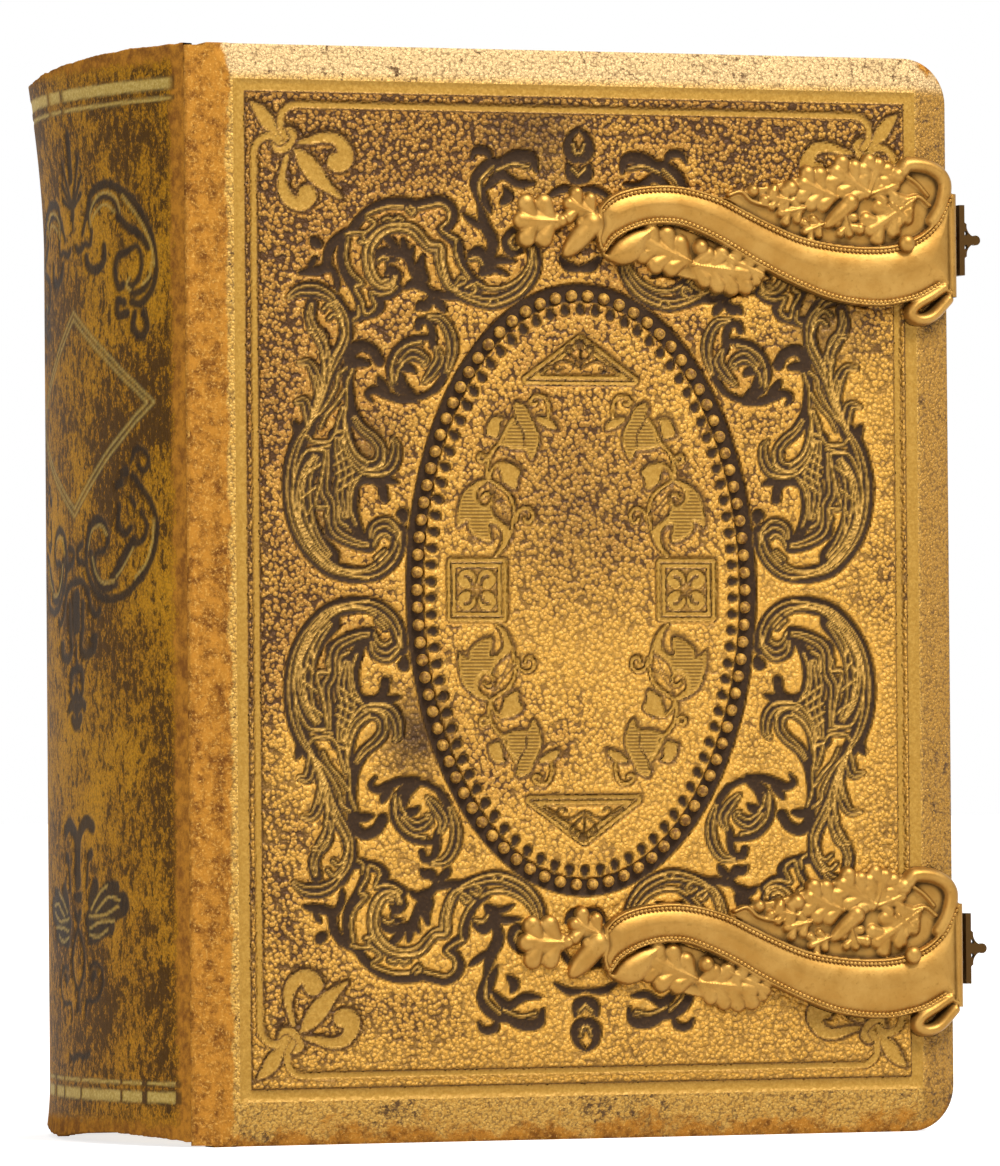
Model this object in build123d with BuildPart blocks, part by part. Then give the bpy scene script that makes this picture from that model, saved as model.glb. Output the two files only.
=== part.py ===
"""Antique photo album: bevelled leather covers on a rounded spine, with card leaves and two brass clasps."""
import os
from math import hypot, sqrt

from build123d import *

os.makedirs("parts", exist_ok=True)

# Covers: boards under leather, with a wide bevel round the raised panel
cover_height = 152.0
cover_width = 113.5
cover_thickness = 5.0
closed_thickness = 66.0
bevel_width = 5.6
bevel_depth = 2.0
corner_radius = 6.5
leather_thickness = 0.8
turn_in_width = 11.0
pastedown_clearance = 0.1

# Spine and its joints: the leather rolls over a shoulder that is the hinge line of each cover
spine_thickness = 1.6
spine_bulge = 6.8
head_flare = 2.1
head_flare_height = 24.0
joint_gap = 1.4
tail_wear_height = 1.6
tail_wear_width = 22.0
tail_wear_outline = [(-0.1, 0), (0.05, 0.6), (0.25, 1), (0.9, 0.6), (1, 0)]
lining_thickness = 1.8
lining_margin = 5.0

# Leaves: a block of stiff cards with gilt edges
page_square = 3.2
page_clearance = 0.4
fore_edge_hollow = 4.5
leaf_count = 18
leaf_slit = 0.3
leaf_slit_depth = 0.6

# Stamping of the front panel
stamp_depth = 0.4
stroke_chords = 3
gilt_depth = 0.2
band_width = 1.8
line_width = 0.9
line_gap = 1.0
line_corner_radius = 7.0
oval_width = 52.0
oval_height = 86.0
oval_ring_width = 4.0
bead_count = 80
bead_radius = 0.85
bead_height = 0.7
bead_sides = 4
bead_line_inset = 1.7
triangle_width = 18.4
triangle_height = 7.8
triangle_rise = 29.5
square_width = 9.5
square_spread = 15.7
motif_line = 0.8

# Brass clasps: a stamped S-strap on the front cover, a hasp hinged on the back cover
clasp_spacing = 100.5
sheet_thickness = 0.7
strap_height = 1.4
rim_height = 1.9
rim_width = 0.8
leaf_height = 1.5
strap_chords = 10
curl_width = 1.7
flange_thickness = 0.6
flange_height = 14.6
clasp_ball_radius = 1.1
pin_shank = 1.0
pin_depth = 2.4
pin_head_radius = 1.0
stud_taper = 25.0
pin_sides = 8
acorn_sides = 6
catch_height = 0.6
catch_length = 4.0
catch_width = 1.0
catch_inset = 3.2
hasp_clearance = 0.3
hasp_thickness = 0.8
hasp_width = 10.0
hasp_window_clearance = 0.4
tab_inset = 0.6
tab_width = 7.6
tab_length = 2.5
tab_tip_radius = 0.7
tab_hole_radius = 0.35
tab_hole_sides = 6
tab_hole_spread = 2.0
tab_hole_place = 0.95
knuckle_radius = 1.3
knuckle_gap = 0.25
hasp_knuckle_length = 4.6
hinge_pin_radius = 0.55
hinge_pin_clearance = 0.1
hinge_inset = 2.5
hinge_plate_length = 24.0
hinge_plate_width = hasp_width
hinge_plate_rise = 0.7
plate_pin_radius = 0.8
plate_pin_shares = (0.4, 0.9)
flange_depth = 4.5
# Pins of each plate: place, height of their seat over the panel, radius of their heads
clasp_pins = [((-59.0, 2.5), leaf_height, pin_head_radius), ((-7.8, -0.1), rim_height, clasp_ball_radius)]
plate_pin_places = [(-hinge_plate_length * share, 0.0) for share in plate_pin_shares]
plate_pins = [(place, hinge_plate_rise, plate_pin_radius) for place in plate_pin_places]

# Outer limits, from which the origin under the middle of the closed album is set
catch_reach = flange_thickness + catch_height
hasp_inner = catch_reach + hasp_clearance
tab_reach = hasp_inner + tab_length + tab_tip_radius
front_relief = rim_height + clasp_ball_radius
back_relief = hinge_plate_rise + plate_pin_radius
spine_reach = spine_bulge + head_flare
joint_x = (spine_reach - cover_width - tab_reach) / 2
fore_x = joint_x + cover_width
middle_y = (front_relief - back_relief) / 2
front_y = middle_y - closed_thickness / 2
back_y = middle_y + closed_thickness / 2

# Hinge lines of the covers, at the centre of each rolled shoulder
shoulder_radius = spine_thickness / 2
axis_spread = closed_thickness / 2 - bevel_depth - shoulder_radius
leather_start = shoulder_radius + joint_gap
arc_rise = spine_bulge - shoulder_radius
arc_radius = (axis_spread**2 + arc_rise**2) / (2 * arc_rise)
arc_centre_x = joint_x - arc_rise + arc_radius

# Working planes: local x runs to the fore edge and local y up, seen from outside
front_face = Plane((joint_x, front_y, 0), x_dir=(1, 0, 0), z_dir=(0, -1, 0))
middle_plane = Plane((0, middle_y, 0), x_dir=(1, 0, 0), z_dir=(0, -1, 0))
panel_width = cover_width - 2 * bevel_width
panel_height = cover_height - 2 * bevel_width
panel_middle = (joint_x + cover_width / 2, front_y, cover_height / 2)
panel_centre = Plane(panel_middle, x_dir=(1, 0, 0), z_dir=(0, -1, 0))
board_thickness = cover_thickness - 2 * leather_thickness


def cover_slab(inset, depth):
    """Bevelled slab of one cover, smaller all round by inset, and depth thick."""
    wide = cover_width - 2 * inset
    high = cover_height - 2 * inset
    with BuildPart() as slab:
        with BuildSketch(front_face.offset(-inset)):
            with Locations((cover_width / 2, cover_height / 2)):
                Rectangle(wide, high)
        extrude(amount=-depth)
        fore_corners = slab.edges().filter_by(Axis.Y).sort_by(Axis.X)[-2:]
        fillet(fore_corners, corner_radius - inset)
        outer_face = slab.faces().sort_by(Axis.Y)[0]
        chamfer(outer_face.edges(), length=bevel_width, length2=bevel_depth, reference=outer_face)
        with BuildSketch(front_face):
            with Locations((leather_start + inset, 0)):
                Rectangle(cover_width, 3 * cover_height, align=(Align.MAX, Align.CENTER))
        extrude(amount=-cover_thickness, both=True, mode=Mode.SUBTRACT)
    return slab.part


# One quarter of the scroll ornament: each stroke runs from its start over its outer arc and back by its inner
# arc, as distances left of and above the middle of the panel
scroll_strokes = [
    ((33.9, 38.0), (30.6, 51.4), (21.8, 48.2), (29.4, 48.6)),
    ((20.6, 47.0), (13.2, 39.2), (6.5, 47.2), (13.8, 42.0)),
    ((37.8, 44.0), (30.0, 53.6), (18.8, 53.6), (30.2, 52.0)),
    ((31.8, 45.5), (27.9, 41.4), (23.6, 45.6), (27.8, 43.0)),
    ((14.6, 53.4), (16.2, 57.6), (15.4, 61.2), (13.8, 57.2)),
    ((39.6, 39.4), (40.2, 31.2), (36.2, 21.6), (37.0, 31.0)),
    ((41.0, 20.8), (40.4, 6.0), (27.4, 8.6), (37.2, 8.2)),
    ((35.2, 23.4), (34.2, 18.2), (29.8, 16.2), (32.4, 20.4)),
    ((23.4, 37.6), (18.4, 31.8), (25.2, 26.4), (20.0, 31.8)),
    ((25.0, 35.0), (29.0, 31.0), (26.6, 27.2), (27.4, 31.0)),
]

# One corner fleur-de-lis, in from the panel's corner: middle petal, two side petals and a foot
fleur_petals = [
    ((9.0, 10.0), (13.4, 12.2), (15.6, 16.8), (11.0, 14.4)),
    ((9.4, 9.4), (14.4, 7.6), (16.2, 12.4), (13.4, 9.8)),
    ((8.4, 10.4), (6.6, 15.6), (11.0, 17.6), (9.0, 14.0)),
    ((3.2, 3.4), (6.2, 4.6), (7.4, 8.2), (4.6, 6.4)),
]

# One spray of vine leaves in a quarter of the oval
vine_leaves = [
    ((11.8, 27.6), (7.0, 25.4), (7.8, 19.4), (12.5, 22.0)),
    ((14.8, 16.0), (10.2, 12.4), (11.8, 7.0), (12.2, 11.0)),
]


def leather_case():
    """Leather of one cover: a skin round its board, turned in at the edges, with the gilt frame lines."""
    line_inset = band_width + line_gap
    line_end = line_inset + line_width
    with BuildPart() as case:
        add(cover_slab(0, cover_thickness))
        add(cover_slab(leather_thickness, board_thickness), mode=Mode.SUBTRACT)
        with BuildSketch(front_face.offset(-cover_thickness)):
            with Locations((cover_width / 2, cover_height / 2)):
                Rectangle(cover_width - 2 * turn_in_width, cover_height - 2 * turn_in_width)
        extrude(amount=leather_thickness, mode=Mode.SUBTRACT)
        with BuildSketch(panel_centre):
            Rectangle(panel_width, panel_height)
            Rectangle(panel_width - 2 * band_width, panel_height - 2 * band_width, mode=Mode.SUBTRACT)
            RectangleRounded(panel_width - 2 * line_inset, panel_height - 2 * line_inset, line_corner_radius)
            RectangleRounded(
                panel_width - 2 * line_end,
                panel_height - 2 * line_end,
                line_corner_radius - line_width,
                mode=Mode.SUBTRACT,
            )
        extrude(amount=-gilt_depth, mode=Mode.SUBTRACT)
    return case.part


def chords(first, over, last):
    """Points of a stamped arc, short chords being as fine as the leather takes; the last is left out."""
    arc = Edge.make_three_point_arc(Vector(*first), Vector(*over), Vector(*last))
    return [arc.position_at(step / stroke_chords) for step in range(stroke_chords)]


def four_ways(shapes, centre_x=0, centre_y=0):
    """Shapes of one quarter, given left of and above a point, repeated into all four quarters."""
    with BuildSketch(panel_centre) as quarters:
        for sign_x in (-1, 1):
            for sign_y in (-1, 1):
                for shape in shapes:
                    first, over, last, back = [
                        (sign_x * (centre_x - x), sign_y * (centre_y - y)) for x, y in shape
                    ]
                    with BuildLine():
                        Polyline(*chords(first, over, last), *chords(last, back, first), close=True)
                    make_face()
    return quarters.sketch


# Middle line of the S-strap: distance in from the fore edge, height over the clasp's middle, half width
strap_stations = [
    (51.0, 3.6, 2.4),
    (47.0, 4.9, 2.5),
    (42.8, 5.3, 2.6),
    (37.5, 3.9, 2.8),
    (32.0, 1.0, 3.0),
    (26.3, -2.0, 3.4),
    (19.7, -4.5, 3.9),
    (13.7, -5.1, 4.1),
    (8.0, -4.2, 4.1),
]

# Stamped oak leaves: foot of the stalk, heading in degrees, length
oak_leaves = [
    ((-17.6, 4.6), 165, 9.4),
    ((-11.0, 5.0), 118, 7.6),
    ((-13.6, 1.6), 35, 7.6),
    ((-49.6, 0.4), -35, 8.4),
    ((-40.6, -4.0), -8, 8.6),
    ((-55.0, 3.0), 172, 9.4),
]

# Stamped acorns and buds: place and radius
acorns = [
    ((-25.4, 7.0), 1.5),
    ((-28.6, 6.8), 1.2),
    ((-18.6, 3.8), 1.7),
    ((-39.2, -1.6), 1.3),
    ((-30.0, -5.0), 1.3),
    ((-57.0, 0.2), 1.9),
]

# Upper edge of the sheet behind the upper leaves, and lowest point of the one behind the lower leaves
upper_sheet = [(-29.4, 8.0), (-20.0, 10.4), (-10.5, 11.4), (-3.6, 10.0)]
under_boss = (-0.9, 6.5)
lower_sheet_dip = (-40.5, -6.0)
finial_sheet = (-55.5, 2.0)
finial_size = (7.0, 3.0)
upper_bow = (-3.6, 2.2)
lower_bow = (-4.0, -7.7)
hook_place = (-51.0, -1.0)
hook_radius = 2.1
upper_curl = ThreePointArc((-0.9, 6.4), (-2.6, 10.2), (-7.2, 10.9))
lower_curl = ThreePointArc((-1.4, -7.0), (-3.4, -9.6), (-6.2, -9.0))

# Half outline of the hasp's tab, shares of its length and width: base, bow, shoulder, dip, neck
tab_outline = [(0, 0.5), (0.3, 0.34), (0.45, 0.3), (0.6, 0.13), (1, 0.06)]

# Half outline of one oak leaf: share of its length, share of its breadth
leaf_lobes = [(0.0, 0.1), (0.14, 0.34), (0.26, 0.2), (0.42, 0.5), (0.54, 0.26), (0.7, 0.42), (0.82, 0.2)]
leaf_breadth = 0.72

clasp_middles = {
    "upper": (cover_height + clasp_spacing) / 2,
    "lower": (cover_height - clasp_spacing) / 2,
}
hinge_x = fore_x + flange_thickness + hasp_clearance + knuckle_radius
hinge_y = back_y - hinge_inset
tab_y = front_y + tab_inset
side_knuckle = (hasp_width - hasp_knuckle_length) / 2 - knuckle_gap


def strap_edge(share):
    """Points along the strap at a share of its half width, 1 for the upper edge and -1 for the lower."""
    points = []
    for index, (inward, rise, half) in enumerate(strap_stations):
        before = strap_stations[max(index - 1, 0)]
        after = strap_stations[min(index + 1, len(strap_stations) - 1)]
        run = before[0] - after[0]
        climb = after[1] - before[1]
        length = hypot(run, climb)
        points.append((-inward - climb / length * half * share, rise + run / length * half * share))
    curve = Edge.make_spline([Vector(*point) for point in points])
    return [curve.position_at(step / strap_chords) for step in range(strap_chords + 1)]


def strap_band(face, from_share, to_share):
    """Face of the strap between two shares of its half width."""
    upper = strap_edge(to_share)
    lower = strap_edge(from_share)
    with BuildSketch(face) as band:
        with BuildLine():
            Polyline(*upper, *lower[::-1], close=True)
        make_face()
    return band.sketch


def leaf_sheets(face):
    """Thin sheet behind the stamped leaves, above and below the strap and at its finial."""
    middle = strap_edge(0)
    upper_part = middle[strap_chords // 3 :]
    lower_part = middle[strap_chords // 8 : strap_chords // 2 + 1]
    with BuildSketch(face) as sheets:
        with BuildLine():
            Polyline(upper_part[0], *upper_sheet, under_boss, *upper_part[:0:-1], close=True)
        make_face()
        with BuildLine():
            ThreePointArc(lower_part[0], lower_sheet_dip, lower_part[-1])
            Polyline(*lower_part[::-1])
        make_face()
        with Locations(finial_sheet):
            Rectangle(*finial_size)
    return sheets.sketch


def end_boss(face):
    """Broad end of the strap, which carries the flange."""
    upper = strap_edge(1)[-1]
    lower = strap_edge(-1)[-1]
    half = flange_height / 2
    with BuildSketch(face) as boss:
        with BuildLine():
            flange_side = ((-curl_width, half), (0, half), (0, -half))
            Polyline(upper, upper_bow, *flange_side, lower_bow, lower, close=True)
        make_face()
        with Locations(hook_place):
            RegularPolygon(hook_radius, pin_sides)
        SlotArc(upper_curl, curl_width)
        SlotArc(lower_curl, curl_width)
    return boss.sketch


def stamped_leaves(face):
    """Lobed outlines of the oak leaves."""
    with BuildSketch(face) as leaves:
        for foot, heading, length in oak_leaves:
            along = Vector(length, 0).rotate(Axis.Z, heading)
            across = Vector(0, length * leaf_breadth).rotate(Axis.Z, heading)
            start = Vector(*foot)
            left = [start + along * share + across * wide for share, wide in leaf_lobes]
            right = [start + along * share - across * wide for share, wide in leaf_lobes]
            with BuildLine():
                Polyline(*left, start + along, *right[::-1], close=True)
            make_face()
    return leaves.sketch


def clasp_face(middle):
    """Plane of the front panel, with its origin at the fore edge and the middle of one clasp."""
    return Plane((fore_x, front_y, middle), x_dir=(1, 0, 0), z_dir=(0, -1, 0))


def plate_face(middle):
    """Plane of the back panel, with its origin at the fore edge and the middle of one clasp."""
    return Plane((fore_x, back_y, middle), x_dir=(1, 0, 0), z_dir=(0, 1, 0))


def pin_squares(face, places):
    """Square holes for the shanks of a plate's pins."""
    with BuildSketch(face) as squares:
        with Locations(*places):
            Rectangle(pin_shank, pin_shank)
    return squares.sketch


def clasp_plate(middle):
    """Stamped brass plate of one clasp, with its flange down the fore edge."""
    face = clasp_face(middle)
    rim_share = 1 - rim_width / strap_stations[0][2]
    with BuildPart() as plate:
        extrude(leaf_sheets(face), amount=sheet_thickness)
        extrude(strap_band(face, -1, 1), amount=strap_height)
        extrude(end_boss(face), amount=strap_height)
        extrude(strap_band(face, rim_share, 1), amount=rim_height)
        extrude(strap_band(face, -1, -rim_share), amount=rim_height)
        extrude(stamped_leaves(face), amount=leaf_height)
        for place, radius in acorns:
            with BuildSketch(face):
                with Locations(place):
                    RegularPolygon(radius, acorn_sides)
            extrude(amount=rim_height)
        for place, height, radius in clasp_pins:
            with BuildSketch(face):
                with Locations(place):
                    RegularPolygon(radius, pin_sides)
            extrude(amount=height)
        with BuildSketch(face):
            Rectangle(flange_thickness, flange_height, align=(Align.MIN, Align.CENTER))
        extrude(amount=strap_height)
        with BuildSketch(face):
            Rectangle(flange_thickness, flange_height, align=(Align.MIN, Align.CENTER))
        extrude(amount=-flange_depth)
        extrude(pin_squares(face, [pin[0] for pin in clasp_pins]), amount=front_relief, mode=Mode.SUBTRACT)
        with BuildSketch(Plane((fore_x, front_y + catch_inset, middle), x_dir=(0, 1, 0), z_dir=(1, 0, 0))):
            Rectangle(catch_width, catch_width)
        extrude(amount=flange_thickness, mode=Mode.SUBTRACT)
    return plate.part


def flat_stud(radius, height, sides):
    """Raised round stud drawn with flat sides, narrower at its top."""
    with BuildPart() as stud:
        with BuildSketch():
            RegularPolygon(radius, sides)
        extrude(amount=height, taper=stud_taper)
    return stud.part


def pin_group(face, pins, depth):
    """Round-headed pins of one plate, with square shanks down into the board."""
    with BuildPart() as group:
        for place, height, radius in pins:
            with Locations(face.offset(height)):
                with Locations(place):
                    add(flat_stud(radius, radius, pin_sides))
            with BuildSketch(face.offset(height)):
                with Locations(place):
                    Rectangle(pin_shank, pin_shank)
            extrude(amount=-height - depth)
    return group.part


def catch_stud(middle):
    """Wedge on the flange that holds the hasp, with a tenon through the flange."""
    with BuildPart() as stud:
        with BuildSketch(Plane((fore_x + flange_thickness, front_y + catch_inset, middle))):
            with BuildLine():
                Polyline((0, -catch_width), (catch_height, 0), (0, catch_width), close=True)
            make_face()
        extrude(amount=catch_length / 2, both=True)
        with BuildSketch(Plane((fore_x, front_y + catch_inset, middle), x_dir=(0, 1, 0), z_dir=(1, 0, 0))):
            Rectangle(catch_width, catch_width)
        extrude(amount=flange_thickness)
    return stud.part


def hasp(middle):
    """Hinged brass strip across the fore edge, with a pierced tab and a window for the catch."""
    inner_x = fore_x + hasp_inner
    strip_end = hinge_y - knuckle_radius - hasp_clearance
    half_window = catch_width + hasp_window_clearance
    with BuildPart() as strip:
        with BuildSketch(Plane((inner_x, 0, middle), x_dir=(0, 1, 0), z_dir=(1, 0, 0))):
            with Locations(((tab_y + strip_end) / 2, 0)):
                Rectangle(strip_end - tab_y, hasp_width)
            with Locations((hinge_y, 0)):
                Rectangle(hinge_y - strip_end, hasp_knuckle_length, align=(Align.MAX, Align.CENTER))
            with Locations((front_y + catch_inset, 0)):
                Rectangle(2 * half_window, catch_length + 2 * hasp_window_clearance, mode=Mode.SUBTRACT)
        extrude(amount=hasp_thickness)
        with BuildSketch(Plane((inner_x, tab_y, middle), x_dir=(1, 0, 0), z_dir=(0, -1, 0))):
            with BuildLine():
                sides = []
                for side in (1, -1):
                    base, bow, shoulder, dip, neck = [
                        (tab_length * out, side * tab_width * half) for out, half in tab_outline
                    ]
                    ThreePointArc(base, bow, shoulder)
                    ThreePointArc(shoulder, dip, neck)
                    sides.append((base, neck))
                Line(sides[0][0], sides[1][0])
                Line(sides[0][1], sides[1][1])
            make_face()
            with Locations((tab_hole_place, tab_hole_spread / 2), (tab_hole_place, -tab_hole_spread / 2)):
                RegularPolygon(tab_hole_radius, tab_hole_sides, mode=Mode.SUBTRACT)
            with Locations((tab_length, 0)):
                Circle(tab_tip_radius)
        extrude(amount=-hasp_thickness)
        with Locations((hinge_x, hinge_y, middle)):
            Cylinder(knuckle_radius, hasp_knuckle_length)
            Cylinder(hinge_pin_radius + hinge_pin_clearance, hasp_width, mode=Mode.SUBTRACT)
    return strip.part


def hinge_plate(middle):
    """Tongue on the back cover that carries the hasp's hinge."""
    face = plate_face(middle)
    with BuildPart() as plate:
        with BuildSketch(face):
            Rectangle(hinge_plate_length, hinge_plate_width, align=(Align.MAX, Align.CENTER))
            with Locations((-hinge_plate_length, 0)):
                Circle(hinge_plate_width / 2)
        extrude(amount=hinge_plate_rise)
        with BuildSketch(face.offset(hinge_plate_rise)):
            Rectangle(flange_thickness, hasp_width, align=(Align.MIN, Align.CENTER))
        extrude(amount=-hinge_plate_rise - flange_depth)
        for side in (1, -1):
            knuckle_z = middle + side * (hasp_width - side_knuckle) / 2
            with Locations((hinge_x, hinge_y, knuckle_z)):
                Cylinder(knuckle_radius, side_knuckle)
                Box(hinge_x - fore_x, knuckle_radius, side_knuckle, align=(Align.MAX, *[Align.CENTER] * 2))
        with Locations((hinge_x, hinge_y, middle)):
            Cylinder(hinge_pin_radius, hasp_width, mode=Mode.SUBTRACT)
        extrude(pin_squares(face, [pin[0] for pin in plate_pins]), amount=back_relief, mode=Mode.SUBTRACT)
    return plate.part


def hinge_pin(middle):
    """Pin through the three knuckles of one hasp hinge."""
    with BuildPart() as pin:
        with Locations((hinge_x, hinge_y, middle)):
            Cylinder(hinge_pin_radius, hasp_width)
    return pin.part


# Boards, leather and pastedowns of the two covers
with BuildPart() as front_board:
    add(cover_slab(leather_thickness, board_thickness))
    for middle in clasp_middles.values():
        holes = pin_squares(clasp_face(middle), [pin[0] for pin in clasp_pins])
        extrude(holes, amount=-pin_depth, mode=Mode.SUBTRACT)

with BuildPart() as back_board:
    mirror(cover_slab(leather_thickness, board_thickness), about=middle_plane)
    for middle in clasp_middles.values():
        holes = pin_squares(plate_face(middle), [pin[0] for pin in plate_pins])
        extrude(holes, amount=-pin_depth, mode=Mode.SUBTRACT)

with BuildPart() as back_leather:
    mirror(leather_case(), about=middle_plane)
    for middle in clasp_middles.values():
        holes = pin_squares(plate_face(middle), [pin[0] for pin in plate_pins])
        extrude(holes, amount=-pin_depth, mode=Mode.SUBTRACT)

with BuildPart() as front_leather:
    add(leather_case())
    extrude(four_ways(scroll_strokes), amount=-stamp_depth, mode=Mode.SUBTRACT)
    fleurs = four_ways(fleur_petals, panel_width / 2, panel_height / 2)
    extrude(fleurs, amount=-gilt_depth, mode=Mode.SUBTRACT)
    extrude(four_ways(vine_leaves), amount=-gilt_depth, mode=Mode.SUBTRACT)
    with BuildSketch(panel_centre):
        Ellipse(oval_width / 2, oval_height / 2)
        Ellipse(oval_width / 2 - oval_ring_width, oval_height / 2 - oval_ring_width, mode=Mode.SUBTRACT)
    extrude(amount=-stamp_depth, mode=Mode.SUBTRACT)
    bead_line = Edge.make_ellipse(oval_width / 2 - bead_line_inset, oval_height / 2 - bead_line_inset)
    with Locations(panel_centre.offset(-stamp_depth)):
        with Locations(*[bead_line.position_at(bead / bead_count) for bead in range(bead_count)]):
            add(flat_stud(bead_radius, bead_height, bead_sides))
    with BuildSketch(panel_centre):
        for side in (-1, 1):
            base = side * triangle_rise
            tip = base + side * triangle_height
            with BuildLine():
                Polyline((-triangle_width / 2, base), (0, tip), (triangle_width / 2, base), close=True)
            make_face()
        with Locations((square_spread, 0), (-square_spread, 0)):
            Rectangle(square_width, square_width)
        offset(amount=-motif_line, kind=Kind.INTERSECTION, mode=Mode.SUBTRACT)
    extrude(amount=-gilt_depth, mode=Mode.SUBTRACT)
    for middle in clasp_middles.values():
        holes = pin_squares(clasp_face(middle), [pin[0] for pin in clasp_pins])
        extrude(holes, amount=-pin_depth, mode=Mode.SUBTRACT)

with BuildPart() as front_pastedown:
    with BuildSketch(front_face.offset(-cover_thickness)):
        with Locations((cover_width / 2, cover_height / 2)):
            Rectangle(
                cover_width - 2 * turn_in_width - 2 * pastedown_clearance,
                cover_height - 2 * turn_in_width - 2 * pastedown_clearance,
            )
    extrude(amount=leather_thickness)

with BuildPart() as back_pastedown:
    mirror(front_pastedown.part, about=middle_plane)

# Spine: a rolled strip of leather, flared at its head, its long edges round about the hinge lines


def spine_section(height, flare):
    """Section of the spine leather at one height, with round long edges."""
    crest = (joint_x - arc_rise - flare, middle_y)
    middle_line = ThreePointArc((joint_x, middle_y - axis_spread), crest, (joint_x, middle_y + axis_spread))
    with BuildSketch(Plane.XY.offset(height)) as section:
        SlotArc(middle_line, spine_thickness)
    return section.sketch


head_start = cover_height - head_flare_height
with BuildPart() as spine_leather:
    extrude(spine_section(0, 0), amount=head_start)
    loft([spine_section(head_start, 0), spine_section(cover_height, head_flare)], ruled=True)
    with BuildSketch(Plane((joint_x, middle_y, 0), x_dir=(0, -1, 0), z_dir=(-1, 0, 0))):
        with BuildLine():
            Polyline(
                *[(tail_wear_width * along, tail_wear_height * up) for along, up in tail_wear_outline],
                close=True,
            )
        make_face()
    extrude(amount=2 * spine_reach, both=True, mode=Mode.SUBTRACT)


def arc_strip(height, outer_radius, inner_radius, half_width):
    """Strip between two arcs round the spine's centre, cut square at half_width to either side."""
    with BuildSketch(Plane.XY.offset(height)) as strip:
        with Locations((arc_centre_x, middle_y)):
            Circle(outer_radius)
            Circle(inner_radius, mode=Mode.SUBTRACT)
        with Locations((arc_centre_x, middle_y)):
            Rectangle(outer_radius, 2 * half_width, align=(Align.MAX, Align.CENTER), mode=Mode.INTERSECT)
    return strip.sketch


lining_outer = arc_radius - shoulder_radius
block_back_radius = lining_outer - lining_thickness
block_half = closed_thickness / 2 - cover_thickness - page_clearance
with BuildPart() as spine_lining:
    lining_section = arc_strip(lining_margin, lining_outer, block_back_radius, block_half)
    extrude(lining_section, amount=cover_height - 2 * lining_margin)

# Block of leaves: round at the back, hollow at the fore edge, with a slit between each two cards
block_back_x = arc_centre_x - sqrt(block_back_radius**2 - block_half**2)
block_fore_x = fore_x - page_square
block_height = cover_height - 2 * page_square
leaf_pitch = 2 * block_half / leaf_count
fore_radius = (block_half**2 + fore_edge_hollow**2) / (2 * fore_edge_hollow)
fore_centre_x = block_fore_x - fore_edge_hollow + fore_radius
with BuildPart() as page_block:
    with BuildSketch(Plane.XY.offset(page_square)):
        with BuildLine():
            ThreePointArc(
                (block_back_x, middle_y - block_half),
                (arc_centre_x - block_back_radius, middle_y),
                (block_back_x, middle_y + block_half),
            )
            Line((block_back_x, middle_y + block_half), (block_fore_x, middle_y + block_half))
            ThreePointArc(
                (block_fore_x, middle_y + block_half),
                (block_fore_x - fore_edge_hollow, middle_y),
                (block_fore_x, middle_y - block_half),
            )
            Line((block_fore_x, middle_y - block_half), (block_back_x, middle_y - block_half))
        make_face()
    extrude(amount=block_height)
    for edge_height, into in ((page_square, leaf_slit_depth), (cover_height - page_square, -leaf_slit_depth)):
        with BuildSketch(Plane((joint_x, middle_y, edge_height))):
            with GridLocations(0, leaf_pitch, 1, leaf_count - 1):
                Rectangle(3 * cover_width, leaf_slit)
        extrude(amount=into, mode=Mode.SUBTRACT)
    with BuildSketch(Plane.XY):
        for leaf in range(1, leaf_count):
            side = leaf * leaf_pitch - block_half
            edge_x = fore_centre_x - sqrt(fore_radius**2 - side**2)
            with Locations((edge_x - leaf_slit_depth, middle_y + side)):
                Rectangle(cover_width, leaf_slit, align=(Align.MIN, Align.CENTER))
    extrude(amount=cover_height, mode=Mode.SUBTRACT)


finished = {
    "front_board": front_board.part,
    "front_leather": front_leather.part,
    "front_pastedown": front_pastedown.part,
    "back_board": back_board.part,
    "back_leather": back_leather.part,
    "back_pastedown": back_pastedown.part,
    "spine_leather": spine_leather.part,
    "spine_lining": spine_lining.part,
    "page_block": page_block.part,
}
for level, middle in clasp_middles.items():
    finished[f"{level}_clasp_plate"] = clasp_plate(middle)
    finished[f"{level}_clasp_pins"] = pin_group(clasp_face(middle), clasp_pins, pin_depth)
    finished[f"{level}_catch"] = catch_stud(middle)
    finished[f"{level}_hasp"] = hasp(middle)
    finished[f"{level}_hinge_plate"] = hinge_plate(middle)
    finished[f"{level}_hinge_pin"] = hinge_pin(middle)
    finished[f"{level}_plate_pins"] = pin_group(plate_face(middle), plate_pins, pin_depth)
for label, piece in finished.items():
    piece.label = label
    export_step(piece, f"parts/{label}.step")
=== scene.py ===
"""Looks of an antique photo album: stamped gilt leather, worn joints, leaf clasps and gilt-edged leaves."""
import math

import bmesh
import bpy
import numpy as np
from mathutils import Matrix, Vector


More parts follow.
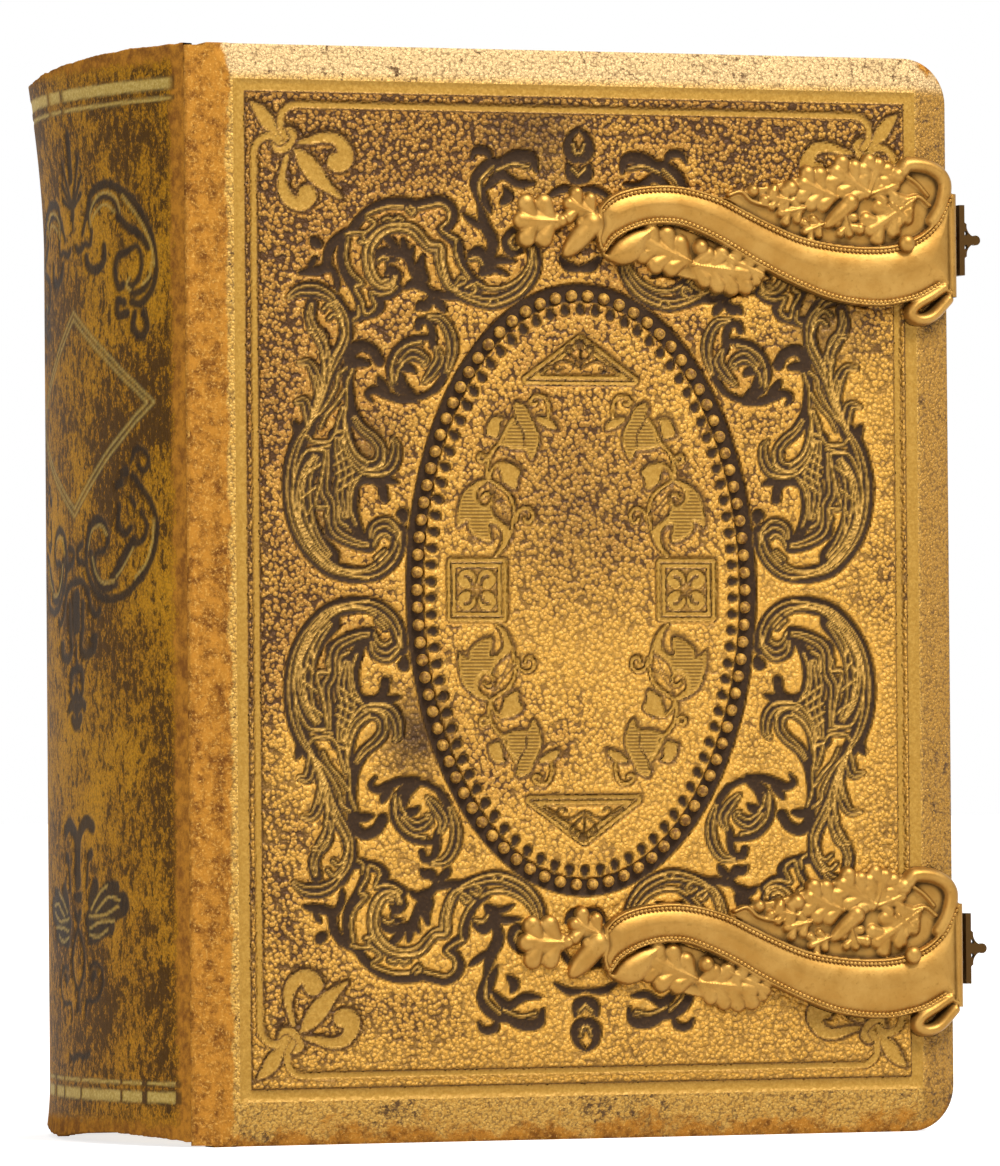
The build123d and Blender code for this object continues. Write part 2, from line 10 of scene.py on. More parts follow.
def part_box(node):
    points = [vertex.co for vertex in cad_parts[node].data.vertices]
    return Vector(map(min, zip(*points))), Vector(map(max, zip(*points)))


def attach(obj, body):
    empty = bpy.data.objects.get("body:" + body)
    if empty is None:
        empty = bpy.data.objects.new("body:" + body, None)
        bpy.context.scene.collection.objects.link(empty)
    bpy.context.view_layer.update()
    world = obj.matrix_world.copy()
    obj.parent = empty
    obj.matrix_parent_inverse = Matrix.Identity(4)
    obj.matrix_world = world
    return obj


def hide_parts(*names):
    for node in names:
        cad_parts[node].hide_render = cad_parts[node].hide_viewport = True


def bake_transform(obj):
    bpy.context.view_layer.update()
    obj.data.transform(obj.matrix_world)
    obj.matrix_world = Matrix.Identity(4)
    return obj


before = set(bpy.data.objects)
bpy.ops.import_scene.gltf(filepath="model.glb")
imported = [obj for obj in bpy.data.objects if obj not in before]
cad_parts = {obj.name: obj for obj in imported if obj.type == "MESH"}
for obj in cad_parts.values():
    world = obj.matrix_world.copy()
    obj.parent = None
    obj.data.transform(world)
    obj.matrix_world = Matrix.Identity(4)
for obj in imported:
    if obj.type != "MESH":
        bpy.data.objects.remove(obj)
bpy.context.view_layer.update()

bl_info = {
    "name": "Antique Photo Album",
    "version": (1, 0, 0),
    "blender": (4, 5, 0),
    "location": "View3D > Sidebar > Album",
    "description": "Dresses the packed solids of a leather photo album",
    "category": "Object",
}

# Sizes in millimetres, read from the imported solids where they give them
MM = 0.001
LEATHER = 0.8
COVER_WIDTH = 113.5
COVER_THICK = 5.0
BEVEL_DEPTH = 2.0
CORNER_RADIUS = 6.5
FORE_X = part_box("front_leather")[1].x / MM
COVER_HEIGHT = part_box("front_leather")[1].z / MM
JOINT_X = FORE_X - COVER_WIDTH
FRONT_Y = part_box("front_board")[0].y / MM - LEATHER
BACK_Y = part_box("back_board")[1].y / MM + LEATHER
MIDDLE_Y = (FRONT_Y + BACK_Y) / 2
LEATHER_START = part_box("front_leather")[0].x / MM - JOINT_X
TURN_IN = 11.0
RIM_STEP = 0.75

# Panel of a cover, as distances from the joint edge and from the tail
PANEL_LEFT, PANEL_RIGHT = 5.6, 107.9
PANEL_LOW, PANEL_HIGH = 6.1, 147.0
CENTRE_X = (PANEL_LEFT + PANEL_RIGHT) / 2
CENTRE_Z = (PANEL_LOW + PANEL_HIGH) / 2
CELL = 0.25
BAND_WIDTH, LINE_WIDTH = 1.6, 0.9
LINE_INSET_SIDE, LINE_INSET_END, LINE_STOP = 2.95, 3.45, 9.6

# Beaded oval round the middle of the panel
OVAL_WIDE, OVAL_HIGH = 26.3, 42.8
RING_WIDTH, BEAD_INSET, BEAD_RADIUS, BEAD_COUNT = 2.6, 1.7, 0.84, 86
BEAD_SUNK = 0.25
DIMPLE_INSET, DIMPLE_RADIUS, DIMPLE_NECK = 3.75, 0.68, 0.95

# Spine: an arc through the two hinge lines
SHOULDER = 0.8
ARC_RISE = 6.0
ARC_SPREAD = (BACK_Y - FRONT_Y) / 2 - BEVEL_DEPTH - SHOULDER
ARC_RADIUS = (ARC_SPREAD**2 + ARC_RISE**2) / (2 * ARC_RISE)
ARC_CENTRE_X = JOINT_X - ARC_RISE + ARC_RADIUS
HEAD_FLARE, HEAD_FLARE_START = 2.6, 126.0
TAIL_FLARE, TAIL_FLARE_END = 0.7, 8.0
LEAN_SHARE = 0.75
SPINE_INNER_ROWS = 24

CLASP_MIDDLES = {"upper": 126.25, "lower": 25.75}

# Ornament of the upper left quarter, drawn on sheets at forty or twenty units to the millimetre. Each sheet's
# upper left corner is given from the joint edge and the tail. A dark stroke is its width and its points.
SHEET_UNITS = 40.0
CANOPY_SHEET = (12.0, 132.0)
SCROLL_SHEET = (12.0, 119.0)
QUARTER_UNITS = 20.0
QUARTER_SHEET = (5.0, 150.0)

CANOPY_DARK = [
    (1.5, [
        (285, 440), (300, 340), (350, 275), (430, 232), (480, 168), (560, 105), (650, 72), (740, 66),
        (820, 80),
    ]),
    (1.5, [(820, 80), (880, 66), (950, 52), (1012, 78), (1040, 132), (1010, 190), (965, 218), (1010, 255)]),
    (1.6, [(1010, 255), (1060, 290), (1070, 350), (1092, 415), (1135, 480), (1200, 530)]),
    (1.5, [(400, 265), (378, 340), (380, 420), (410, 490), (452, 560), (484, 640), (476, 704), (432, 700)]),
    (1.9, [
        (690, 480), (672, 528), (620, 536), (562, 500), (532, 430), (528, 350), (560, 274), (625, 222),
        (720, 204),
    ]),
    (1.9, [
        (720, 204), (800, 222), (858, 280), (900, 312), (952, 320), (955, 380), (972, 450), (1005, 520),
        (1060, 560),
    ]),
    (2.2, [
        (1060, 566), (1150, 596), (1250, 618), (1340, 600), (1430, 552), (1492, 480), (1520, 400),
        (1512, 310),
    ]),
    (1.7, [(1512, 310), (1474, 244), (1402, 226), (1356, 276), (1380, 328), (1428, 312)]),
    (1.7, [(510, 690), (562, 676), (594, 640), (572, 586), (640, 580), (700, 545)]),
    (1.3, [(900, 570), (980, 584), (1070, 584)]),
]
CANOPY_LEAVES = [
    (1.2, [(585, 410), (598, 352), (650, 338), (730, 372)]),
    (1.0, [(638, 426), (654, 388), (705, 388)]),
    (1.3, [(612, 250), (668, 290), (735, 372)]),
    (1.4, [(735, 268), (748, 330), (775, 420)]),
    (1.5, [(795, 318), (778, 380), (796, 440), (836, 500), (905, 566)]),
    (1.4, [(852, 360), (842, 430), (880, 500)]),
    (1.2, [(630, 470), (670, 440), (725, 478)]),
    (1.5, [(745, 548), (796, 520), (860, 540), (912, 572)]),
    (1.8, [(1190, 60), (1226, 190), (1268, 270), (1262, 345), (1226, 420)]),
    (1.2, [(1095, 130), (1150, 168), (1225, 215)]),
    (1.6, [(1126, 352), (1186, 330), (1226, 386), (1196, 460)]),
    (1.3, [(1236, 430), (1296, 384), (1400, 386)]),
    (1.1, [(1200, 470), (1280, 436), (1362, 466)]),
    (1.6, [(812, 664), (836, 640), (872, 640), (912, 590)]),
    (1.4, [(980, 672), (958, 640), (918, 606)]),
    (1.5, [(118, 470), (190, 458), (262, 444), (300, 380)]),
    (1.6, [(196, 276), (222, 300), (250, 316)]),
    (1.0, [(180, 440), (218, 380)]),
    (1.2, [(346, 566), (344, 500), (302, 410)]),
]
CANOPY_GOLD = [
    [(398, 252), (440, 240), (512, 240)],
    [(498, 262), (520, 296), (480, 290)],
    [(505, 250), (572, 192), (522, 150), (562, 122), (650, 94), (740, 92)],
    [(762, 104), (790, 132), (810, 108), (782, 92)],
    [(830, 100), (900, 84), (962, 74), (1012, 112), (1008, 168), (962, 212), (1012, 250), (1062, 272)],
    [(1052, 280), (1050, 340), (1080, 420), (1132, 486)],
    [
        (412, 270), (398, 372), (424, 452), (492, 522), (450, 545), (492, 622), (512, 690), (562, 668),
        (574, 640),
    ],
    [(574, 640), (546, 572), (602, 582), (660, 570), (700, 540)],
    [(470, 650), (472, 700), (440, 722)],
    [
        (686, 485), (680, 522), (630, 546), (570, 520), (528, 440), (520, 350), (556, 268), (630, 206),
        (722, 186),
    ],
    [
        (722, 186), (804, 202), (864, 262), (892, 300), (962, 308), (960, 372), (976, 452), (1004, 532),
        (1052, 556),
    ],
    [
        (648, 500), (600, 504), (562, 446), (552, 350), (590, 282), (650, 236), (722, 220), (790, 240),
        (838, 284),
    ],
    [
        (1070, 576), (1140, 610), (1232, 632), (1262, 600), (1292, 600), (1312, 622), (1372, 602),
        (1442, 562), (1505, 490),
    ],
    [
        (1170, 510), (1242, 540), (1332, 535), (1422, 490), (1480, 420), (1500, 350), (1490, 300),
        (1442, 250), (1400, 240),
    ],
    [(1400, 240), (1374, 280), (1400, 316), (1432, 302), (1426, 272)],
    [(1050, 512), (1082, 480), (1112, 502), (1062, 532)],
    [(1112, 540), (1152, 520), (1172, 552), (1130, 582)],
    [(620, 168), (650, 156), (680, 168), (710, 154), (740, 166)],
    [(590, 390), (620, 374), (650, 384)],
    [(1130, 380), (1180, 372), (1212, 404)],
]
SCROLL_DARK = [
    (2.2, [(335, 100), (384, 180), (396, 262), (380, 340), (334, 420), (292, 500), (240, 640), (190, 760)]),
    (1.9, [(196, 120), (184, 196), (222, 285), (262, 350), (284, 420), (268, 560), (226, 680), (170, 800)]),
    (1.7, [(590, 430), (552, 372), (486, 346), (432, 380), (412, 460), (404, 560), (414, 660), (440, 744)]),
    (1.9, [
        (440, 744), (486, 806), (556, 860), (596, 918), (584, 986), (522, 1008), (446, 960), (402, 880),
        (386, 780),
    ]),
    (2.6, [
        (170, 800), (118, 880), (80, 980), (62, 1100), (70, 1240), (108, 1370), (186, 1490), (292, 1580),
        (424, 1616),
    ]),
    (2.4, [(424, 1616), (550, 1606), (640, 1548), (690, 1468), (706, 1376)]),
    (3.0, [(215, 960), (160, 1060), (140, 1180), (156, 1310), (206, 1420), (290, 1516)]),
    (2.2, [
        (280, 930), (272, 1050), (262, 1150), (300, 1226), (306, 1330), (340, 1390), (440, 1436), (520, 1452),
    ]),
    (3.2, [(345, 860), (366, 960), (392, 1060), (370, 1160), (390, 1300)]),
    (1.7, [(480, 1060), (442, 1116), (424, 1210), (434, 1300), (470, 1396), (526, 1452)]),
    (1.5, [(462, 1096), (530, 1082), (594, 1116), (612, 1190)]),
    (2.2, [(540, 1408), (560, 1352), (626, 1330), (686, 1376)]),
    (1.0, [
        (905, 300), (830, 300), (742, 322), (672, 392), (648, 472), (676, 556), (742, 614), (832, 626),
        (920, 586),
    ]),
    (1.2, [(920, 586), (978, 500), (962, 410), (912, 340), (908, 270), (884, 212), (836, 204), (820, 240)]),
]
SCROLL_LEAVES = [
    (2.4, [(58, 84), (128, 44), (222, 40), (300, 74), (340, 120)]),
    (2.0, [(110, 446), (178, 450), (222, 530), (236, 620), (214, 700)]),
    (2.0, [(92, 664), (150, 660), (172, 730), (168, 800)]),
    (1.6, [(84, 770), (110, 830), (104, 900)]),
    (2.0, [(176, 266), (232, 276), (262, 340), (276, 420)]),
    (2.3, [(662, 862), (686, 900), (672, 984), (622, 1040), (540, 1052), (476, 1036)]),
    (1.5, [(690, 1104), (640, 1090), (560, 1066), (480, 1050)]),
    (1.7, [(692, 1284), (724, 1276), (728, 1320)]),
    (2.0, [(880, 180), (962, 200), (1014, 280), (1024, 380), (992, 490)]),
    (2.2, [(715, 440), (790, 388), (866, 424), (850, 450)]),
    (1.5, [(690, 520), (716, 462), (774, 470), (800, 492)]),
    (1.4, [(722, 500), (736, 570), (800, 618)]),
    (2.0, [(850, 548), (904, 492), (950, 420), (930, 350)]),
    (1.4, [(546, 660), (516, 616), (560, 590), (622, 612), (704, 640), (810, 652)]),
    (1.4, [(580, 520), (612, 566), (652, 606)]),
    (1.5, [(430, 470), (460, 440), (530, 446)]),
    (1.8, [(330, 1400), (300, 1380), (286, 1330)]),
]
SCROLL_GOLD = [
    [(292, 200), (330, 176), (374, 220), (386, 292), (362, 352), (330, 412), (300, 490)],
    [(262, 150), (300, 120), (350, 160), (372, 240)],
    [(216, 520), (236, 600), (226, 680), (186, 756)],
    [(250, 400), (272, 480), (262, 580), (230, 664), (176, 780)],
    [(400, 470), (348, 512), (334, 580), (260, 700), (186, 770)],
    [(388, 590), (340, 660), (276, 730), (240, 800)],
    [(376, 692), (350, 760), (330, 830)],
    [(372, 820), (330, 834), (290, 880), (200, 880), (164, 850)],
    [
        (232, 922), (160, 934), (110, 1012), (80, 1122), (78, 1232), (112, 1362), (182, 1482), (272, 1566),
        (382, 1614), (520, 1636),
    ],
    [
        (242, 1002), (152, 1072), (120, 1182), (122, 1302), (182, 1422), (252, 1512), (352, 1582),
        (472, 1594), (560, 1560),
    ],
    [(272, 932), (262, 1012), (242, 1102), (212, 1232), (284, 1242), (270, 1300)],
    [(300, 900), (230, 922), (272, 932)],
    [(132, 1080), (178, 1002), (202, 962)],
    [(150, 1062), (232, 1012)],
    [(130, 1192), (212, 1132)],
    [(110, 1312), (128, 1236)],
    [(160, 1284), (190, 1236)],
    [(192, 1300), (186, 1372), (232, 1462)],
    [(432, 480), (402, 560), (400, 660), (386, 762), (412, 882), (452, 952), (522, 1002)],
    [(372, 852), (392, 942), (470, 1042), (562, 1062), (642, 1050)],
    [(622, 930), (612, 1002), (542, 1032)],
    [(328, 962), (372, 926)],
    [(326, 1008), (392, 968)],
    [(330, 1058), (412, 1016)],
    [(340, 1106), (440, 1046)],
    [(346, 1152), (480, 1066)],
    [(342, 1240), (352, 1320), (400, 1350)],
    [(462, 1090), (430, 1142), (418, 1250), (446, 1340)],
    [(642, 1312), (692, 1362), (708, 1440)],
    [(552, 1452), (572, 1412), (612, 1390), (652, 1412)],
    [(560, 1524), (612, 1480)],
    [(584, 1540), (632, 1492)],
    [(606, 1552), (644, 1514)],
    [(668, 560), (664, 480), (690, 400), (756, 344), (840, 322)],
    [(690, 540), (706, 480), (730, 452)],
]
TOP_DARK = [
    (1.5, [(735, 395), (722, 335), (752, 290), (800, 268)]),
    (1.3, [(712, 268), (728, 246), (762, 250), (770, 278)]),
    (1.8, [(785, 290), (836, 262), (892, 262), (906, 300)]),
    (1.3, [(800, 300), (850, 336), (900, 334)]),
    (1.5, [(756, 352), (800, 314), (846, 332)]),
    (1.3, [(770, 420), (752, 380), (736, 330)]),
    (1.5, [(800, 395), (822, 372), (812, 350)]),
    (1.3, [(1035, 182), (1008, 206), (1002, 246), (1026, 268), (1046, 250)]),
    (1.5, [(1002, 280), (1012, 314), (1046, 330)]),
    (1.2, [(940, 372), (985, 350), (1035, 352)]),
    (1.4, [(1046, 206), (1052, 260), (1040, 300)]),
    (1.5, [(975, 540), (1000, 566), (1040, 572)]),
    (1.2, [(960, 470), (990, 430), (1040, 420)]),
]
TOP_GOLD = [
    [(740, 380), (740, 330), (780, 290)],
    [(790, 300), (840, 282), (884, 290)],
    [(1018, 224), (1028, 250), (1046, 240)],
    [(1014, 292), (1040, 316)],
]
# Corner lily: its petals and knot as outlines, and the curled ends of the frame lines
LILY_SHAPES = [
    [(62, 122), (96, 133), (119, 152), (130, 169), (143, 201), (158, 230), (126, 208), (99, 191), (76, 153)],
    [
        (204, 230), (233, 221), (265, 208), (298, 205), (327, 213), (352, 236), (364, 266), (358, 294),
        (338, 310), (314, 313), (292, 301), (288, 284), (298, 266), (317, 262), (317, 251), (309, 238),
        (282, 231), (247, 236), (206, 238),
    ],
    [
        (175, 265), (163, 274), (152, 304), (143, 337), (144, 372), (163, 404), (196, 421), (228, 417),
        (252, 394), (255, 374), (241, 354), (222, 352), (206, 362), (201, 382), (193, 384), (177, 367),
        (167, 342), (165, 316), (171, 291),
    ],
    [
        (190, 250), (222, 259), (252, 281), (276, 311), (298, 347), (331, 388), (287, 370), (247, 347),
        (217, 316), (201, 286),
    ],
    [
        (159, 189), (182, 191), (199, 206), (196, 228), (179, 254), (153, 266), (131, 260), (122, 238),
        (126, 230), (144, 244), (163, 236), (177, 221), (173, 210),
    ],
]
LILY_LINE = [
    [(300, 129), (196, 129), (165, 141), (152, 159), (150, 183), (157, 205), (170, 222)],
    [(71, 319), (71, 266), (78, 240), (97, 222), (120, 216), (136, 224), (147, 237), (160, 237)],
]
# Vine sprays in the oval: striped leaves, plain leaves, and stems and curls in gilt line
VINE_STRIPED = [
    [
        (665, 1294), (695, 1277), (699, 1301), (725, 1324), (763, 1334), (759, 1286), (782, 1288),
        (771, 1258), (760, 1235), (741, 1239), (721, 1222), (717, 1195), (733, 1174), (753, 1161),
        (717, 1172), (681, 1203), (666, 1252),
    ],
    [
        (791, 1064), (831, 1077), (869, 1080), (884, 1106), (899, 1088), (910, 1048), (899, 1012), (884, 986),
        (873, 961), (842, 947), (833, 968), (838, 995), (812, 1019), (806, 1051),
    ],
]
VINE_PLAIN = [
    [
        (777, 1374), (805, 1351), (823, 1316), (821, 1299), (781, 1269), (765, 1252), (782, 1288),
        (797, 1309), (794, 1343),
    ],
    [(801, 1169), (837, 1188), (843, 1161), (853, 1138), (829, 1119), (801, 1115), (789, 1127), (797, 1150)],
    [(752, 1037), (781, 1046), (791, 1030), (794, 1004), (802, 992), (773, 990), (756, 1012)],
    [(903, 997), (930, 1015), (960, 1021), (953, 1001), (930, 990), (903, 988)],
]
VINE_LINE = [
    [(777, 1373), (803, 1347), (821, 1309), (830, 1275), (831, 1237), (817, 1203), (785, 1178), (759, 1163)],
    [(839, 1275), (847, 1250), (871, 1241), (889, 1258), (881, 1279), (867, 1279), (863, 1269)],
    [(757, 1163), (753, 1138), (759, 1104), (771, 1081), (792, 1059), (815, 1015), (834, 990)],
    [(759, 1161), (765, 1138), (785, 1119), (803, 1115)],
    [
        (753, 1164), (725, 1184), (717, 1210), (729, 1231), (749, 1239), (765, 1225), (765, 1207),
        (751, 1201), (739, 1210),
    ],
    [(753, 1100), (741, 1114), (727, 1106), (731, 1093), (745, 1095)],
    [(938, 986), (939, 961), (926, 932), (899, 929), (884, 943), (892, 952), (903, 948)],
]
VINE_GROOVE = [
    [(821, 1298), (797, 1241), (769, 1214), (759, 1169)],
    [(831, 1258), (801, 1229), (771, 1191), (762, 1171)],
    [(867, 1066), (863, 1030), (842, 997), (834, 968)],
]
STRIPE_PITCH = 0.48
# Gold veins in the dark strokes: their spacing and width, and the stroke width over which they are drawn
VEIN_PITCH, VEIN_WIDTH, VEIN_FROM = 0.95, 0.22, 1.85
# Dark stains on the front leather, one of them a painted shadow under the upper clasp: place across and up
# the cover, radius, strength
STAINS_AND_SHADOW = [
    (31.5, 56.5, 8.5, 0.95),
    (25.5, 96.0, 6.0, 0.6),
    (50.0, 140.0, 12.0, 0.6),
    # Painted shadow under the upper clasp's strap
    (94.0, 114.0, 9.0, 0.75),
    (18.0, 86.0, 7.0, 0.5),
    (56.0, 86.0, 22.0, 0.32),
]

# Triangle and square, the dark ground and petals in the square, and the triangle's filling,
# from the joint edge and the tail
TRIANGLE = [(47.4, 105.5), (56.75, 112.9), (66.1, 105.5)]
SQUARE = [(36.25, 71.8), (36.25, 81.3), (45.8, 81.3), (45.8, 71.8)]
SQUARE_GROUND = 6.6
PETAL_REACH, PETAL_RADIUS = 1.5, 1.5
SHAPE_BAND = 1.35
ARABESQUE = [
    [(56.75, 111.6), (56.75, 109.6), (56.75, 107.4)],
    [(56.6, 108.2), (55.3, 109.2), (54.7, 110.2), (55.3, 110.7), (55.7, 110.1)],
    [(56.4, 107.6), (54.8, 108.4), (53.3, 108.3), (52.7, 107.5), (53.3, 107.0), (53.9, 107.4)],
    [(52.4, 107.9), (51.5, 107.5), (50.8, 107.0)],
    [(56.75, 110.9), (56.2, 111.4), (56.4, 110.6)],
]

# Brass clasp, drawn at twenty units to the millimetre. Its sheet's corner is given from the joint edge and
# from the clasp's middle.
CLASP_CELL = 0.15
BRASS_FROM = -0.3
CLASP_UNITS = 20.0
CLASP_SHEET = (50.0, 23.75)
CLASP_REACH = (46.0, 114.0, -13.0, 12.0)
STRAP_HEAD = [
    (184, 402), (206, 378), (246, 356), (312, 340), (400, 335), (480, 346), (560, 370), (640, 408),
    (720, 444), (800, 474), (880, 490), (960, 498), (1040, 498), (1100, 488), (1160, 464), (1206, 424),
    (1232, 376), (1246, 350),
]
STRAP_TAIL = [
    (206, 526), (234, 490), (290, 461), (350, 446), (420, 447), (480, 465), (560, 500), (640, 545),
    (720, 585), (800, 620), (880, 649), (960, 664), (1040, 668), (1100, 660), (1160, 644), (1220, 614),
]
STRAP_END = [(1268, 344), (1270, 640)]
STRAP_START = [(186, 520), (178, 488), (188, 452)]
HOOK_LOBE = [
    (188, 512), (204, 542), (246, 561), (290, 556), (322, 530), (338, 492), (362, 452), (330, 456),
    (290, 466), (240, 494), (210, 530),
]
HEAD_GROUND = [
    (576, 372), (640, 340), (700, 332), (760, 316), (800, 302), (880, 280), (950, 262), (1040, 258),
    (1110, 264), (1180, 266), (1226, 286), (1246, 330), (1212, 424), (1160, 468), (1100, 490), (1040, 500),
    (960, 500), (880, 492), (800, 476), (720, 446), (640, 410),
]
TAIL_GROUND = [
    (330, 476), (344, 556), (402, 584), (470, 598), (540, 618), (640, 618), (712, 592), (640, 548),
    (560, 502), (480, 467), (420, 449), (362, 450),
]
CURL_HEAD = [(1206, 424), (1234, 374), (1244, 322), (1226, 288), (1184, 268), (1132, 266), (1112, 284)]
CURL_TAIL = [(1236, 612), (1192, 640), (1150, 664), (1136, 690), (1164, 704), (1204, 692), (1250, 646)]
# Oak leaves: stalk end, tip, half breadth in millimetres, lobes on each side
OAK_LEAVES = [
    ((912, 362), (800, 322), 2.5, 3), ((1012, 350), (900, 282), 2.4, 3), ((1008, 348), (1046, 258), 2.3, 3),
    ((1014, 350), (1100, 322), 1.8, 2), ((1150, 362), (1000, 462), 2.4, 3),
    ((1076, 376), (1130, 424), 1.5, 2), ((812, 392), (730, 410), 1.6, 2), ((772, 374), (700, 362), 1.5, 2),
    ((868, 436), (806, 462), 1.4, 2), ((930, 400), (950, 470), 1.6, 2), ((462, 548), (316, 492), 2.7, 3),
    ((470, 558), (650, 582), 2.6, 4), ((560, 530), (690, 588), 1.6, 3), ((70, 440), (-54, 440), 2.8, 2),
    ((186, 424), (90, 388), 2.1, 2),
]
# Acorns: cup, tip, radius in millimetres; then plain balls: place, radius in millimetres
ACORNS = [((950, 376), (876, 446), 1.35), ((168, 448), (86, 534), 1.75)]
CLASP_BALLS = [
    ((770, 338), 1.3), ((656, 346), 0.95), ((716, 350), 0.95), ((690, 372), 0.9), ((980, 450), 1.0),
    ((494, 508), 1.25), ((1096, 298), 1.4), ((1000, 352), 0.8), ((1120, 420), 0.8), ((76, 440), 1.05),
]
TENDRILS = [
    [(580, 360), (618, 350), (652, 376), (704, 388), (760, 384)],
    [(1196, 380), (1162, 356), (1120, 368), (1062, 408)],
    [(1130, 300), (1160, 320), (1190, 352)],
]
RIVET_PLACE, RIVET_RADIUS, RIVET_LIFT = (1116, 490), 1.25, 1.7
# Heights over the panel of the clasp's strap, its rim, the ground of its leaves and its rope
STRAP_FLOOR, STRAP_SWELL, STRAP_RIM, GROUND_LIFT, ROPE_LIFT = 1.2, 0.95, 0.4, 0.45, 1.42
ROPE_RADIUS, ROPE_LEAN = 0.29, math.radians(35)
# Flange on the fore edge: its reach below and above the clasp's middle, its drop and how far it stands out
FLANGE_LOW, FLANGE_HIGH, FLANGE_DROP, FLANGE_OUT = -8.2, 6.4, 4.7, 0.45

# Spine: gilt bands over the tail (low, high, whether cracked), the double-lined diamond, and stamped groups.
# A group is its middle line, its dark strokes and its gold lines, drawn at twenty units to the millimetre
# across and in millimetres over the tail. Both sides of the middle line mirror each other.
SPINE_CELL = 0.34
SPINE_UNITS = 20.0
SPINE_BANDS = [(145.85, 147.4, False), (144.3, 144.75, False), (6.0, 7.5, True), (8.45, 8.85, True)]
DIAMOND_WIDE, DIAMOND_HIGH, DIAMOND_MIDDLE = 24.4, 14.6, 102.4


def drawn_from(top, *strokes):
    """Strokes whose heights are drawn downwards from a height over the tail, in the spine's units."""
    lowered = []
    for width, points in strokes:
        lowered.append((width, [(x, top - y / SPINE_UNITS) for x, y in points]))
    return lowered


def lines_from(top, *lines):
    """Gold lines drawn the same way."""
    return [points for width, points in drawn_from(top, *[(0.3, line) for line in lines])]


HEAD_STAMP = drawn_from(
    152.0,
    (1.5, [(515, 440), (490, 385), (430, 366), (370, 368), (300, 392), (240, 428), (190, 476), (152, 530)]),
    (1.3, [(152, 530), (138, 580), (136, 636), (162, 686), (214, 716), (256, 708)]),
    (1.1, [(490, 490), (504, 446), (472, 412), (416, 398), (352, 412), (322, 450)]),
    (1.5, [(322, 462), (276, 494), (216, 520), (170, 556)]),
    (1.1, [(268, 562), (222, 556), (202, 600), (220, 646), (262, 668)]),
    (1.4, [(282, 566), (326, 574), (344, 616), (326, 660), (298, 656)]),
    (1.2, [(160, 640), (190, 672), (246, 686), (270, 656)]),
    (1.4, [(292, 706), (330, 700), (326, 740), (276, 736)]),
    (1.5, [(196, 742), (178, 776), (206, 806), (248, 784), (240, 744)]),
    (1.9, [(632, 200), (632, 250), (632, 320)]),
    (1.1, [(566, 270), (594, 330), (626, 390)]),
    (1.0, [(548, 322), (586, 362), (622, 396)]),
    (1.0, [(556, 372), (588, 388), (624, 404)]),
    (1.9, [(632, 414), (632, 428)]),
    (0.9, [(632, 440), (632, 466)]),
    (1.1, [(510, 412), (534, 452), (556, 486)]),
    (1.3, [(552, 522), (580, 532), (606, 520)]),
    (1.1, [(486, 486), (500, 522), (534, 516)]),
    (1.6, [(408, 540), (410, 580), (460, 600), (510, 584), (528, 556)]),
)
HEAD_LINES = lines_from(
    152.0,
    [(494, 470), (494, 430), (450, 396), (390, 388), (330, 412), (312, 446)],
    [(478, 452), (440, 430), (392, 422), (340, 448)],
    [(300, 404), (250, 446), (196, 496), (156, 556), (142, 610)],
    [(262, 676), (282, 658), (262, 640)],
    [(152, 600), (166, 640), (200, 662)],
)
FOOT_STAMP = drawn_from(
    114.0,
    (1.3, [
        (244, 436), (192, 478), (150, 520), (130, 572), (136, 626), (166, 682), (222, 732), (292, 766),
        (372, 780),
    ]),
    (1.4, [
        (372, 780), (446, 764), (502, 720), (534, 668), (530, 610), (500, 562), (450, 546), (402, 570),
        (386, 610),
    ]),
    (1.1, [(386, 610), (410, 638), (456, 640), (474, 668), (450, 712)]),
    (1.1, [(206, 540), (178, 570), (192, 612), (246, 634)]),
    (1.9, [(242, 622), (288, 656), (332, 700), (364, 724)]),
    (1.7, [(344, 734), (410, 742), (470, 704), (502, 640)]),
    (1.1, [(254, 392), (232, 364), (192, 364), (166, 392), (186, 422), (212, 412)]),
    (1.7, [(278, 420), (300, 424)]),
    (1.5, [(308, 452), (332, 458)]),
    (1.3, [(320, 518), (326, 570), (292, 596), (256, 580)]),
    (1.2, [(258, 496), (236, 520)]),
    (1.3, [(542, 664), (592, 652), (606, 622), (564, 608)]),
)
FOOT_LINES = lines_from(
    114.0,
    [(142, 560), (150, 620), (182, 680), (236, 722)],
    [(394, 596), (430, 566), (490, 576), (516, 620)],
    [(352, 728), (420, 728), (468, 694), (490, 650)],
    [(246, 640), (300, 690), (340, 716)],
)
PENDANT_STAMP = drawn_from(
    78.0,
    (1.3, [(528, 60), (556, 14), (600, -8), (642, -10)]),
    (1.3, [(546, 16), (524, 72), (484, 96), (460, 84)]),
    (1.6, [(514, 164), (492, 160), (506, 192), (566, 204), (600, 180), (588, 120), (584, 56)]),
    (2.6, [(632, 36), (634, 80), (632, 116)]),
    (1.1, [(642, 168), (642, 226)]),
    (1.5, [(588, 276), (600, 246), (642, 236)]),
    (1.3, [(598, 268), (590, 302), (622, 322), (640, 300)]),
    (1.7, [(576, 346), (600, 338), (626, 352)]),
    (1.7, [(606, 380), (626, 398), (642, 400)]),
    (1.5, [(642, 330), (642, 380)]),
)
